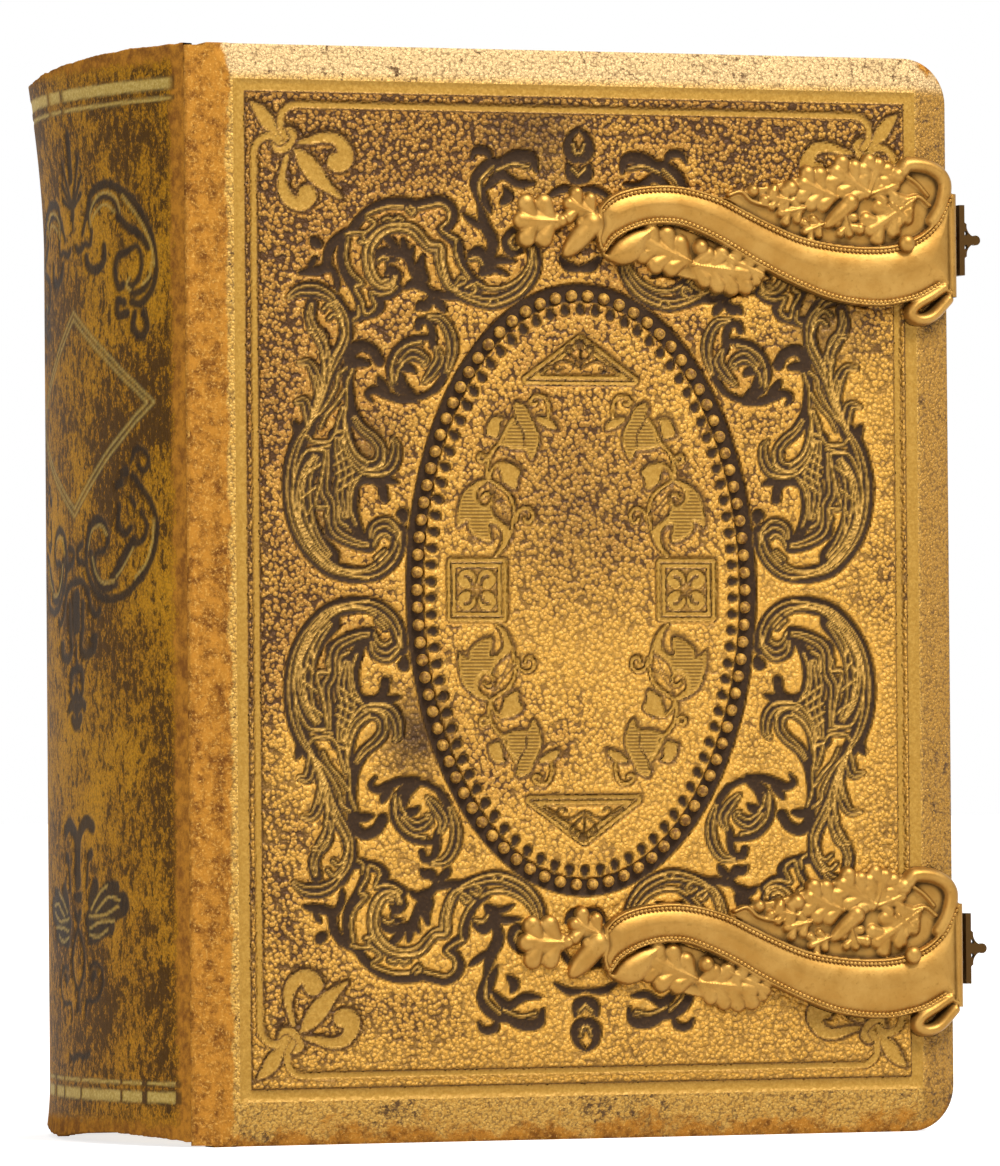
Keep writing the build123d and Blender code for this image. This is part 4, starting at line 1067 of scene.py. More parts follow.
class QuarterPanel:
    """Fields of stamping over one quarter of a panel, its origin at the panel's middle."""

    def __init__(self, cell):
        self.columns = int(round((CENTRE_X - PANEL_LEFT) / cell)) + 1
        self.rows = int(round((CENTRE_Z - PANEL_LOW) / cell)) + 1
        self.wide = np.linspace(0, CENTRE_X - PANEL_LEFT, self.columns)
        self.high = np.linspace(0, CENTRE_Z - PANEL_LOW, self.rows)
        self.cell = cell
        fields = (np.zeros((self.rows, self.columns)) for _ in range(7))
        self.dark, self.gilt, self.gold, self.rim, self.groove, self.stripes, self.inside = fields

    def local(self, points):
        return [(CENTRE_X - x, z - CENTRE_Z) for x, z in points]

    def paint(self, field, points, width, soft=0.22, leaf=False, level=1.0):
        path = smooth_path(self.local(points), 0.14)
        widths = tapered(path, width) if leaf else np.full(len(path), width)
        self.stroke(field, path, widths, soft, level)

    def stroke(self, field, path, widths, soft=0.2, level=1.0):
        brush(field, (0.0, 0.0), self.cell, path, widths, soft, level)

    def frame_lines(self):
        """Gilt band at the panel's edge and the rounded line inside it."""
        from_side = self.wide[-1] - self.wide[None, :] + 0 * self.high[:, None]
        from_end = self.high[-1] - self.high[:, None] + 0 * self.wide[None, :]
        edge = np.minimum(from_side, from_end)
        self.gilt = np.maximum(self.gilt, soft_edge(BAND_WIDTH - edge))
        sides = ((LINE_INSET_SIDE, from_side, from_end), (LINE_INSET_END, from_end, from_side))
        for inset, across, along in sides:
            line = np.where(along > LINE_STOP, np.abs(across - inset), np.inf)
            self.gilt = np.maximum(self.gilt, soft_edge(LINE_WIDTH / 2 - line))
            self.rim = np.maximum(self.rim, soft_edge(LINE_WIDTH / 2 + 0.2 - line))
        self.rim = np.maximum(self.rim, soft_edge(0.2 - np.abs(edge - BAND_WIDTH - 0.1)))

    def oval(self):
        """Dark ring of the beads with its scalloped inner side, and its dimples."""
        across, up = self.wide[None, :], self.high[:, None]

        def gap(inset):
            """Distance outside an oval that lies this far inside the outer one."""
            a, b = OVAL_WIDE - inset, OVAL_HIGH - inset
            level = np.hypot(across / a, up / b)
            slope = np.maximum(np.hypot(across * b / a, up * a / b), 1e-6)
            return (level - 1) * (level * a * b / slope)

        self.inside = np.clip(-gap(DIMPLE_INSET) / 2.0, 0, 1)
        ring = np.minimum(-gap(0.0), gap(RING_WIDTH))
        self.dark = np.maximum(self.dark, soft_edge(ring))
        neck_inset = (RING_WIDTH + DIMPLE_INSET) / 2
        for inset, width, soft in ((DIMPLE_INSET, 2 * DIMPLE_RADIUS, 0.25), (neck_inset, DIMPLE_NECK, 0.3)):
            places = oval_places(inset, BEAD_COUNT, 0.5)
            self.stroke(self.dark, places, np.full(BEAD_COUNT, width), soft)

    def ornament(self):
        """Scrolls, leaves, lilies, vine sprays and the small motifs."""
        sheets = (
            (CANOPY_SHEET, SHEET_UNITS, CANOPY_DARK, CANOPY_LEAVES, CANOPY_GOLD),
            (SCROLL_SHEET, SHEET_UNITS, SCROLL_DARK, SCROLL_LEAVES, SCROLL_GOLD),
            (QUARTER_SHEET, QUARTER_UNITS, [], TOP_DARK, TOP_GOLD),
        )
        for sheet, units, bands, leaves, lines in sheets:
            for width, points in bands:
                self.paint(self.dark, from_sheet(points, sheet, units), width)
            for width, points in leaves:
                self.paint(self.dark, from_sheet(points, sheet, units), width, leaf=True)
            for width, points in bands + leaves:
                self.veins(from_sheet(points, sheet, units), width)
            for points in lines:
                self.paint(self.gold, from_sheet(points, sheet, units), 0.28, 0.2)
                self.paint(self.dark, from_sheet(points, sheet, units), 0.95)
        for outline in LILY_SHAPES + VINE_STRIPED + VINE_PLAIN:
            self.inlay(from_sheet(outline, QUARTER_SHEET, QUARTER_UNITS), outline in VINE_STRIPED)
        for points in LILY_LINE:
            drawn = from_sheet(points, QUARTER_SHEET, QUARTER_UNITS)
            self.paint(self.gilt, drawn, LINE_WIDTH)
            self.paint(self.rim, drawn, LINE_WIDTH + 0.5)
        for points in VINE_LINE:
            drawn = from_sheet(points, QUARTER_SHEET, QUARTER_UNITS)
            self.paint(self.gilt, drawn, 0.5, level=0.85)
            self.paint(self.rim, drawn, 1.05)
        knot = LILY_SHAPES[-1] + LILY_SHAPES[-1][:1]
        for points in VINE_GROOVE + [knot]:
            self.paint(self.groove, from_sheet(points, QUARTER_SHEET, QUARTER_UNITS), 0.3, 0.2)
        for points in ARABESQUE:
            self.paint(self.dark, points, 0.4, 0.2, level=0.8)
        self.outline(TRIANGLE)
        self.outline(SQUARE)
        self.rosette()

    def veins(self, points, width):
        """Fine gold lines along a broad dark stroke."""
        if width <= VEIN_FROM:
            return
        path = smooth_path(self.local(points), 0.14)
        side = sideways(path) * (tapered(path, width) / width)[:, None]
        count = int(width / VEIN_PITCH)
        for k in range(count):
            shift = (k - (count - 1) / 2) * VEIN_PITCH
            self.stroke(self.gold, path + shift * side, np.full(len(path), VEIN_WIDTH), level=0.85)

    def inlay(self, outline, striped):
        """Sunk gilt shape with a dark edge, striped inside where it is a leaf."""
        local = np.array(self.local(outline))
        depth = shape_depth(self.wide, self.high, smooth_path(np.vstack([local, local[:1]]), 0.3))
        self.gilt = np.maximum(self.gilt, soft_edge(depth))
        self.rim = np.maximum(self.rim, soft_edge(0.27 - np.abs(depth + 0.22)))
        if striped:
            self.stripes = np.maximum(self.stripes, soft_edge(depth - 0.4))

    def rosette(self):
        """Upper two petals in the small square, each outlined and with a dark comma."""
        middle = np.mean(SQUARE, axis=0)
        self.paint(self.rim, [middle, middle + 0.01], SQUARE_GROUND, level=0.6)
        turn = np.linspace(0, 2 * np.pi, 30)
        for sign_x in (-1, 1):
            place = middle + PETAL_REACH * np.array([sign_x, 1.0])
            ring = place + PETAL_RADIUS * np.stack([np.cos(turn), np.sin(turn)], axis=1)
            self.paint(self.gilt, [place, place + 0.01], 2 * PETAL_RADIUS)
            self.paint(self.groove, ring, 0.3, 0.2)
            comma = [place + (0.2 * sign_x, 0.4), place + (-0.5 * sign_x, 0.1), place + (-0.9 * sign_x, -0.8)]
            self.paint(self.groove, comma, 0.5, 0.2)

    def outline(self, corners):
        """Straight gilt band along a closed polygon, split by a dark groove."""
        middle = np.mean(corners, axis=0)
        inset = []
        for spoke in np.array(corners) - middle:
            inset.append(middle + spoke * (1 - SHAPE_BAND / np.linalg.norm(spoke)))
        bands = ((self.gilt, SHAPE_BAND), (self.rim, SHAPE_BAND + 0.55), (self.groove, 0.28))
        for start, end in zip(inset, inset[1:] + inset[:1]):
            path = np.linspace(*self.local([start, end]), 90)
            for field, width in bands:
                self.stroke(field, path, np.full(len(path), width))

    def heights(self, depth):
        """Relief of the quarter in millimetres, outwards from the panel."""
        stamped = blurred(np.maximum(self.dark, 0.4 * self.groove), 0.42, self.cell)
        puff = 1 - blurred(np.maximum(self.dark, 0.5 * self.gilt), 1.5, self.cell)
        relief = -depth * stamped + 0.75 * depth * puff
        relief += 0.62 * depth * blurred(self.gold, 0.22, self.cell)
        relief -= depth * blurred(np.maximum(self.gilt, self.rim), 0.24, self.cell)
        fade = np.minimum(self.wide[-1] - self.wide[None, :], self.high[-1] - self.high[:, None])
        return relief * np.clip(fade / 0.6, 0, 1)


def oval_places(inset, count, shift=0.0):
    """Evenly spaced points along the oval, as distances from its middle."""
    angle = np.linspace(0, 2 * np.pi, 4001)
    line = np.stack([(OVAL_WIDE - inset) * np.cos(angle), (OVAL_HIGH - inset) * np.sin(angle)], axis=1)
    along = np.concatenate([[0], np.cumsum(np.linalg.norm(np.diff(line, axis=0), axis=1))])
    stations = (np.arange(count) + shift) / count * along[-1]
    return np.stack([np.interp(stations, along, line[:, k]) for k in (0, 1)], axis=1)


def cover_panel(name, quarter, relief, face_y, outward, material, body, slot):
    """Four quarters of a cover's panel from one quarter's fields. The grain is calm by the stamping."""
    calm = 2.2 * blurred(quarter.dark, 2.4, quarter.cell)
    calm += quarter.inside * (0.35 + 1.5 * blurred(quarter.gilt, 1.6, quarter.cell))
    masks = {
        "dark": quarter.dark * (1 - quarter.gold),
        "gilt": quarter.gilt * (1 - quarter.dark) * (1 - quarter.groove),
        "gold": quarter.gold,
        "stripes": quarter.stripes,
        "calm": np.clip(calm, 0, 1),
        # Dark grooves, and rims that carry painted shade round the sunk gilt
        "rim": np.maximum(quarter.rim * (1 - quarter.gilt), quarter.groove) * (1 - quarter.dark),
    }
    for side, sign_x in (("joint", -1), ("fore", 1)):
        for end, sign_z in (("tail", -1), ("head", 1)):
            x = JOINT_X + CENTRE_X + sign_x * quarter.wide[None, :] + 0 * relief
            z = CENTRE_Z + sign_z * quarter.high[:, None] + 0 * relief
            points = np.stack([x, face_y + outward * relief, z], axis=-1).reshape(-1, 3)
            faces = grid_faces(*relief.shape, sign_x * sign_z * -outward < 0)
            fit(new_piece(f"{name}_{side}_{end}", points, faces, material, masks), body, slot)


def cover_outline(left):
    """Points round a cover's edge from its tail at the joint, with round corners at the fore edge."""
    turns = np.linspace(0, np.pi / 2, 14)
    head, tail = [], []
    for turn in turns:
        x = COVER_WIDTH - CORNER_RADIUS * (1 - math.sin(turn))
        drop = CORNER_RADIUS * (1 - math.cos(turn))
        head.append((x, COVER_HEIGHT - drop))
        tail.insert(0, (x, drop))

    def run(start, end):
        count = max(int(math.dist(start, end) / RIM_STEP), 1)
        return [tuple(p) for p in np.linspace(start, end, count, endpoint=False)]

    outer = run((left, 0.0), (left, COVER_HEIGHT)) + run((left, COVER_HEIGHT), head[0]) + head[:-1]
    outer += run(head[-1], tail[0]) + tail[:-1] + run(tail[-1], (left, 0.0))
    return np.array(outer)


def cover_rim(name, face_y, outward, material, body, slot, node):
    """Bevels, edges and turn-ins of one cover's leather, round its panel."""
    rng = np.random.default_rng(7)
    left = LEATHER_START
    outer = cover_outline(left)
    inner = np.clip(outer, (PANEL_LEFT, PANEL_LOW), (PANEL_RIGHT, PANEL_HIGH))
    inside = np.clip(outer, (left + 1.0, TURN_IN), (COVER_WIDTH - TURN_IN, COVER_HEIGHT - TURN_IN))
    joint_depth = BEVEL_DEPTH * (PANEL_LEFT - left) / PANEL_LEFT
    edge_depth = np.where(outer[:, 0] > PANEL_LEFT, BEVEL_DEPTH, joint_depth)
    from_end = np.minimum(outer[:, 1], COVER_HEIGHT - outer[:, 1])
    corner_wear = np.clip(1.25 - np.hypot(outer[:, 0] - COVER_WIDTH, from_end) / 9, 0, 1)
    tail_wear = np.clip(1 - outer[:, 1] / 5, 0, 1)
    joint_wear = np.clip(1.6 - (outer[:, 0] - left) / 3.0, 0, 1)
    rows, worn_rows = [], []

    def add_row(place, depth, worn):
        """One ring of points round the cover, at a depth behind the panel."""
        y = np.broadcast_to(face_y - outward * depth, len(outer))
        rows.append(np.column_stack([JOINT_X + place[:, 0], y, place[:, 1]]))
        worn_rows.append(np.broadcast_to(worn, len(outer)))

    for step in np.linspace(0, 1, 15):
        place = inner + (outer - inner) * step
        uneven = 0.05 * rng.standard_normal(len(outer)) * (0 < step < 1)
        sag = edge_depth * step - 0.1 * np.sin(np.pi * step) + uneven + 0.5 * np.clip(step - 0.9, 0, 1)
        wear = np.maximum(0.62 * corner_wear * step, tail_wear * (0.15 + 0.55 * step))
        near_joint = np.clip(1.45 - (place[:, 0] - left) / 2.6, 0, 1)
        add_row(place, sag, np.maximum(wear, np.where(place[:, 0] < PANEL_LEFT - 0.02, near_joint, 0)))
    wall_wear = np.maximum.reduce([0.75 * corner_wear, 0.8 * tail_wear, 0.9 * joint_wear])
    for step in np.linspace(0, 1, 6)[1:]:
        add_row(outer, edge_depth + (COVER_THICK - edge_depth) * step, wall_wear)
    for step in np.linspace(0, 1, 6)[1:]:
        add_row(outer + (inside - outer) * step, COVER_THICK, 0.05)
    grid, worn = np.array(rows), np.array(worn_rows)
    grid = np.concatenate([grid, grid[:, :1]], axis=1)
    worn = np.concatenate([worn, worn[:, :1]], axis=1)
    faces = grid_faces(*grid.shape[:2], outward > 0)
    piece = new_piece(name, grid.reshape(-1, 3), faces, material, {"worn": worn})
    clean_mesh(piece)
    fit(piece, body, slot, node)


def clean_mesh(piece):
    """Merges doubled points and drops faces without area."""
    work = bmesh.new()
    work.from_mesh(piece.data)
    bmesh.ops.remove_doubles(work, verts=work.verts, dist=0.00001)
    bmesh.ops.dissolve_degenerate(work, edges=work.edges, dist=0.000001)
    work.to_mesh(piece.data)
    work.free()
    piece.data.update()


def repeat_on_path(name, path, shape, count_or_pitch, material, by_count, tilt=0.0):
    """Mesh of a small shape repeated along a closed or open path, made by a node tree."""
    curve = bpy.data.curves.new(f"{name} path", "CURVE")
    curve.dimensions = "3D"
    line = curve.splines.new("POLY")
    line.points.add(len(path) - 1)
    for point, place in zip(line.points, path):
        point.co = (*[c * MM for c in place], 1.0)
    line.use_cyclic_u = by_count
    carrier = bpy.data.objects.new(name, curve)
    bpy.context.scene.collection.objects.link(carrier)
    tree = bpy.data.node_groups.new(f"{name} tree", "GeometryNodeTree")
    tree.interface.new_socket("Geometry", in_out="INPUT", socket_type="NodeSocketGeometry")
    kind = "NodeSocketInt" if by_count else "NodeSocketFloat"
    spacing = tree.interface.new_socket("Count" if by_count else "Pitch", in_out="INPUT", socket_type=kind)
    turn = tree.interface.new_socket("Tilt", in_out="INPUT", socket_type="NodeSocketFloat")
    tree.interface.new_socket("Geometry", in_out="OUTPUT", socket_type="NodeSocketGeometry")
    start, end = tree.nodes.new("NodeGroupInput"), tree.nodes.new("NodeGroupOutput")
    points = tree.nodes.new("GeometryNodeCurveToPoints")
    points.mode = "COUNT" if by_count else "LENGTH"
    tree.links.new(start.outputs["Geometry"], points.inputs["Curve"])
    tree.links.new(start.outputs[1], points.inputs["Count" if by_count else "Length"])
    source = tree.nodes.new("GeometryNodeObjectInfo")
    source.inputs["Object"].default_value = shape
    copies = tree.nodes.new("GeometryNodeInstanceOnPoints")
    tree.links.new(points.outputs["Points"], copies.inputs["Points"])
    tree.links.new(source.outputs["Geometry"], copies.inputs["Instance"])
    tree.links.new(points.outputs["Rotation"], copies.inputs["Rotation"])
    turned = tree.nodes.new("GeometryNodeRotateInstances")
    lean = tree.nodes.new("ShaderNodeCombineXYZ")
    tree.links.new(start.outputs["Tilt"], lean.inputs["Y"])
    tree.links.new(lean.outputs[0], turned.inputs["Rotation"])
    tree.links.new(copies.outputs[0], turned.inputs["Instances"])
    real = tree.nodes.new("GeometryNodeRealizeInstances")
    paint = tree.nodes.new("GeometryNodeSetMaterial")
    paint.inputs["Material"].default_value = material
    tree.links.new(turned.outputs[0], real.inputs[0])
    tree.links.new(real.outputs[0], paint.inputs["Geometry"])
    tree.links.new(paint.outputs[0], end.inputs[0])
    modifier = carrier.modifiers.new(name, "NODES")
    modifier.node_group = tree
    modifier[spacing.identifier] = count_or_pitch
    modifier[turn.identifier] = tilt
    bpy.context.view_layer.update()
    mesh = bpy.data.meshes.new_from_object(carrier.evaluated_get(bpy.context.evaluated_depsgraph_get()))
    bpy.data.objects.remove(carrier)
    mesh.name = name
    piece = bpy.data.objects.new(name, mesh)
    bpy.context.scene.collection.objects.link(piece)
    return piece


def small_ball(name, radius, stretch=(1, 1, 1), segments=12, rings=8):
    """Small ball that a node tree repeats; it is removed afterwards."""
    mesh = bpy.data.meshes.new(name)
    work = bmesh.new()
    bmesh.ops.create_uvsphere(work, u_segments=segments, v_segments=rings, radius=radius * MM)
    bmesh.ops.scale(work, vec=Vector(stretch), verts=work.verts)
    for face in work.faces:
        face.smooth = True
    work.to_mesh(mesh)
    work.free()
    ball = bpy.data.objects.new(name, mesh)
    bpy.context.scene.collection.objects.link(ball)
    return ball


def with_attribute(piece, name, value):
    """Gives a plain point attribute to a finished mesh."""
    layer = piece.data.attributes.new(name, "FLOAT", "POINT")
    layer.data.foreach_set("value", np.full(len(piece.data.vertices), value, np.float32))


class AlbumOperator(bpy.types.Operator):
    """Base of the album's steps."""

    bl_options = {"REGISTER"}

    @property
    def looks(self):
        return bpy.context.scene.album_looks


class ALBUM_OT_front_cover(AlbumOperator):
    """Front cover: stamped panel, its beads, bevels and edges."""

    bl_idname = "album.front_cover"
    bl_label = "Front cover"

    def execute(self, context):
        quarter = QuarterPanel(CELL)
        quarter.frame_lines()
        quarter.oval()
        quarter.ornament()
        relief = quarter.heights(self.looks.stamp_depth / MM)
        leather = gilt_leather(self.looks)
        cover_panel("front_panel", quarter, relief, FRONT_Y, -1, leather, "front_cover", "gilt_leather")
        bevel = bevel_leather(self.looks)
        cover_rim("front_rim", FRONT_Y, -1, bevel, "front_cover", "gilt_leather", "front_leather")
        bead = small_ball("bead", self.looks.bead_radius / MM)
        ring = []
        for x, z in oval_places(BEAD_INSET, 400):
            ring.append((JOINT_X + CENTRE_X + x, FRONT_Y + BEAD_SUNK, CENTRE_Z + z))
        beads = repeat_on_path("oval_beads", ring, bead, self.looks.bead_count, bead_gilt(), True)
        bpy.data.objects.remove(bead)
        fit(beads, "front_cover", "gilt_leather")
        return {"FINISHED"}


class ALBUM_OT_back_cover(AlbumOperator):
    """Back cover: plain gilt panel with the same frame lines."""

    bl_idname = "album.back_cover"
    bl_label = "Back cover"

    def execute(self, context):
        quarter = QuarterPanel(4 * CELL)
        quarter.frame_lines()
        relief = quarter.heights(self.looks.stamp_depth / MM)
        leather = bpy.data.materials["gilt leather"]
        cover_panel("back_panel", quarter, relief, BACK_Y, 1, leather, "back_cover", "gilt_leather")
        bevel = bpy.data.materials["bevel leather"]
        cover_rim("back_rim", BACK_Y, 1, bevel, "back_cover", "gilt_leather", "back_leather")
        return {"FINISHED"}


class ALBUM_OT_spine(AlbumOperator):
    """Spine leather and the soft strips over both joints."""

    bl_idname = "album.spine"
    bl_label = "Spine and joints"

    def execute(self, context):
        half_angle = math.asin(ARC_SPREAD / ARC_RADIUS)
        outer = ARC_RADIUS + SHOULDER
        columns = int(2 * half_angle * outer / SPINE_CELL)
        rows = int(COVER_HEIGHT / SPINE_CELL)
        share = np.linspace(0, 1, columns)
        angle = -half_angle + 2 * half_angle * share
        head, tail = self.worn_ends(share)
        z = self.levels(head, tail, rows)
        flare = self.flare(share, z)
        masks = self.ornament(share, z, half_angle * outer)
        sunk = 0.16 * blurred(masks["dark"], 0.6, SPINE_CELL) + 0.1 * masks["gilt"]
        outside = self.arc(outer - sunk, angle, flare, z)
        picked = (np.linspace(0, 1, SPINE_INNER_ROWS) * (rows - 1)).astype(int)
        inner_z = self.levels(head, tail, SPINE_INNER_ROWS)
        inside = self.arc(ARC_RADIUS - SHOULDER, angle, flare[picked], inner_z)
        start = rows * columns
        faces = [grid_faces(rows, columns, True), grid_faces(SPINE_INNER_ROWS, columns, False, start)]
        ends = ((0, 0, False), (rows - 1, SPINE_INNER_ROWS - 1, True))
        for outside_row, inside_row, flip in ends:
            out_edge = outside_row * columns + np.arange(columns)
            in_edge = start + inside_row * columns + np.arange(columns)
            strip = np.stack([out_edge[:-1], out_edge[1:], in_edge[1:], in_edge[:-1]], axis=-1)
            faces.append(strip[:, ::-1] if flip else strip)
        for key, mask in masks.items():
            lining = np.full(SPINE_INNER_ROWS * columns, float(key == "worn"))
            masks[key] = np.concatenate([mask.ravel(), lining])
        points = np.concatenate([outside, inside])
        skin = new_piece("spine_skin", points, np.concatenate(faces), spine_leather(self.looks), masks)
        fit(skin, "leaves", "spine_leather", "spine_leather")
        self.joints(bpy.data.materials["bevel leather"])
        return {"FINISHED"}

    def worn_ends(self, share):
        """Heights of the spine's ragged head and tail across it; both are whole at the joints."""
        lost = 1 - eased(share, WHOLE_FROM, 1.0)
        rng = np.random.default_rng(3)
        frays = np.convolve(rng.standard_normal(len(share) + 8), np.ones(5) / 5, "same")[4:-4]
        head_loss = HEAD_LOSS * np.clip((share - 0.15) / 0.6, 0, 1) ** 1.3 * lost
        tail_wear = np.clip(1 - np.abs(share - 0.3) / 0.34, 0, 1)
        tail_loss = TAIL_LOSS * tail_wear**0.5 + TAIL_BACK_LOSS * np.clip((share - 0.6) / 0.3, 0, 1) * lost
        return COVER_HEIGHT - 0.1 - head_loss - 0.12 * frays, 0.1 + tail_loss + 0.25 * np.abs(frays)

    def levels(self, head, tail, rows):
        """Heights of rows of points between the tail and the head."""
        return tail[None, :] + (head - tail)[None, :] * np.linspace(0, 1, rows)[:, None]

    def flare(self, share, z):
        """How far the skin stands out at its head and tail, away from the joints."""
        lean = eased(share, 0.0, LEAN_SHARE) * (1 - eased(share, WHOLE_FROM, 1.0))
        up = np.clip((z - HEAD_FLARE_START) / (COVER_HEIGHT - HEAD_FLARE_START), 0, 1)
        down = np.clip(1 - z / TAIL_FLARE_END, 0, 1)
        return (HEAD_FLARE * up**1.6 + TAIL_FLARE * down**2) * lean[None, :]

    def arc(self, radius, angle, flare, z):
        """Points of the skin at a radius of the spine's arc."""
        x = ARC_CENTRE_X - radius * np.cos(angle)[None, :] - flare
        y = MIDDLE_Y + radius * np.sin(angle)[None, :] + 0 * z
        return np.stack([x, y, z], axis=-1).reshape(-1, 3)

    def ornament(self, share, z, half_length):
        """Gilt bands, the diamond, stamped scrolls and wear of the spine."""
        across = (share - 0.5) * 2 * half_length
        origin = (across[0], 0.0)
        cell = across[1] - across[0]
        shrink = cell / (COVER_HEIGHT / (z.shape[0] - 1))
        dark, gilt, rim = (np.zeros_like(z) for _ in range(3))
        rng = np.random.default_rng(5)
        cracks = np.convolve(rng.random(len(share)) < 0.05, np.ones(2), "same")
        rubbed = np.clip(1 - np.abs(across - 0.8) / 1.2, 0, 1) + np.clip(1 - np.abs(across - 6.5) / 1.3, 0, 1)
        for low, high, broken in SPINE_BANDS:
            level = np.minimum(z - low, high - z)
            unbroken = np.clip(1 - (cracks if broken else rubbed), 0, 1)
            whole = (np.clip((share - 0.035) / 0.02, 0, 1) * unbroken)[None, :]
            gilt = np.maximum(gilt, soft_edge(level, 0.25) * whole)
            rim = np.maximum(rim, np.clip(level / 0.25 + 1.2, 0, 1) * (share > 0.03)[None, :])
        for inset in (0.0, 1.1):
            wide, high = DIAMOND_WIDE - 1.5 * inset, DIAMOND_HIGH - inset
            ends = [(wide, 0), (0, high), (-wide, 0), (0, -high), (wide, 0)]
            for start, end in zip(ends, ends[1:]):
                path = np.linspace(start, end, 160) + np.array([0.0, DIAMOND_MIDDLE])
                path[:, 1] *= shrink
                brush(gilt, origin, cell, path, [0.42] * len(path), 0.3, 0.8)
                brush(rim, origin, cell, path, [1.0] * len(path), 0.3)
        for middle, strokes, lines in SPINE_STAMPS:
            for field, width, points in [(dark, w, p) for w, p in strokes] + [(gilt, 0.3, p) for p in lines]:
                for side in (-1, 1):
                    drawn = [(side * (middle - x) / SPINE_UNITS, y * shrink) for x, y in points]
                    path = smooth_path(drawn, 0.2)
                    brush(field, origin, cell, path, np.full(len(path), width), 0.35)
        ends = 0.8 * np.clip(np.maximum(z - WORN_HEAD, WORN_TAIL - z) / 4, 0, 1)
        sides = np.clip(1.1 - np.minimum(share / 0.075, (1 - share) / 0.05), 0, 1)
        worn = np.maximum(ends, sides[None, :])
        return {"dark": dark * (1 - gilt), "gilt": gilt, "worn": worn, "rim": rim * (1 - gilt)}

    def joints(self, suede):
        """Soft worn strips that bridge each joint between the spine and a cover."""
        rows = 160
        rng = np.random.default_rng(11)
        for name, face_y, outward, body in (
            ("front_joint", FRONT_Y, -1, "front_cover"), ("back_joint", BACK_Y, 1, "back_cover"),
        ):
            axis_y = face_y - outward * (BEVEL_DEPTH + SHOULDER)
            line = []
            for turn in np.linspace(-1.15, 0.0, 7):
                reach = 0.99 + 0.16 * turn
                line.append((JOINT_X + reach * math.sin(turn), axis_y + outward * reach * math.cos(turn)))
            for reach in np.linspace(0.5, LEATHER_START + 1.1, 7):
                slope = BEVEL_DEPTH * (1 - reach / PANEL_LEFT)
                line.append((JOINT_X + reach, face_y - outward * (slope - 0.1)))
            line = np.array(line)
            z = np.linspace(0.25, COVER_HEIGHT - 0.35, rows)
            rough = 0.1 * rng.standard_normal((rows, len(line)))
            x, y = line.T
            spread = np.broadcast_arrays(x[None, :], y[None, :] + outward * rough * 0.5, z[:, None])
            points = np.stack(spread, axis=-1).reshape(-1, 3)
            worn = np.broadcast_to(np.clip(0.7 + np.arange(len(line)) / 9, 0, 1), (rows, len(line)))
            faces = grid_faces(rows, len(line), outward > 0)
            strip = new_piece(name, points, faces, suede, {"worn": worn})
            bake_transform(strip)


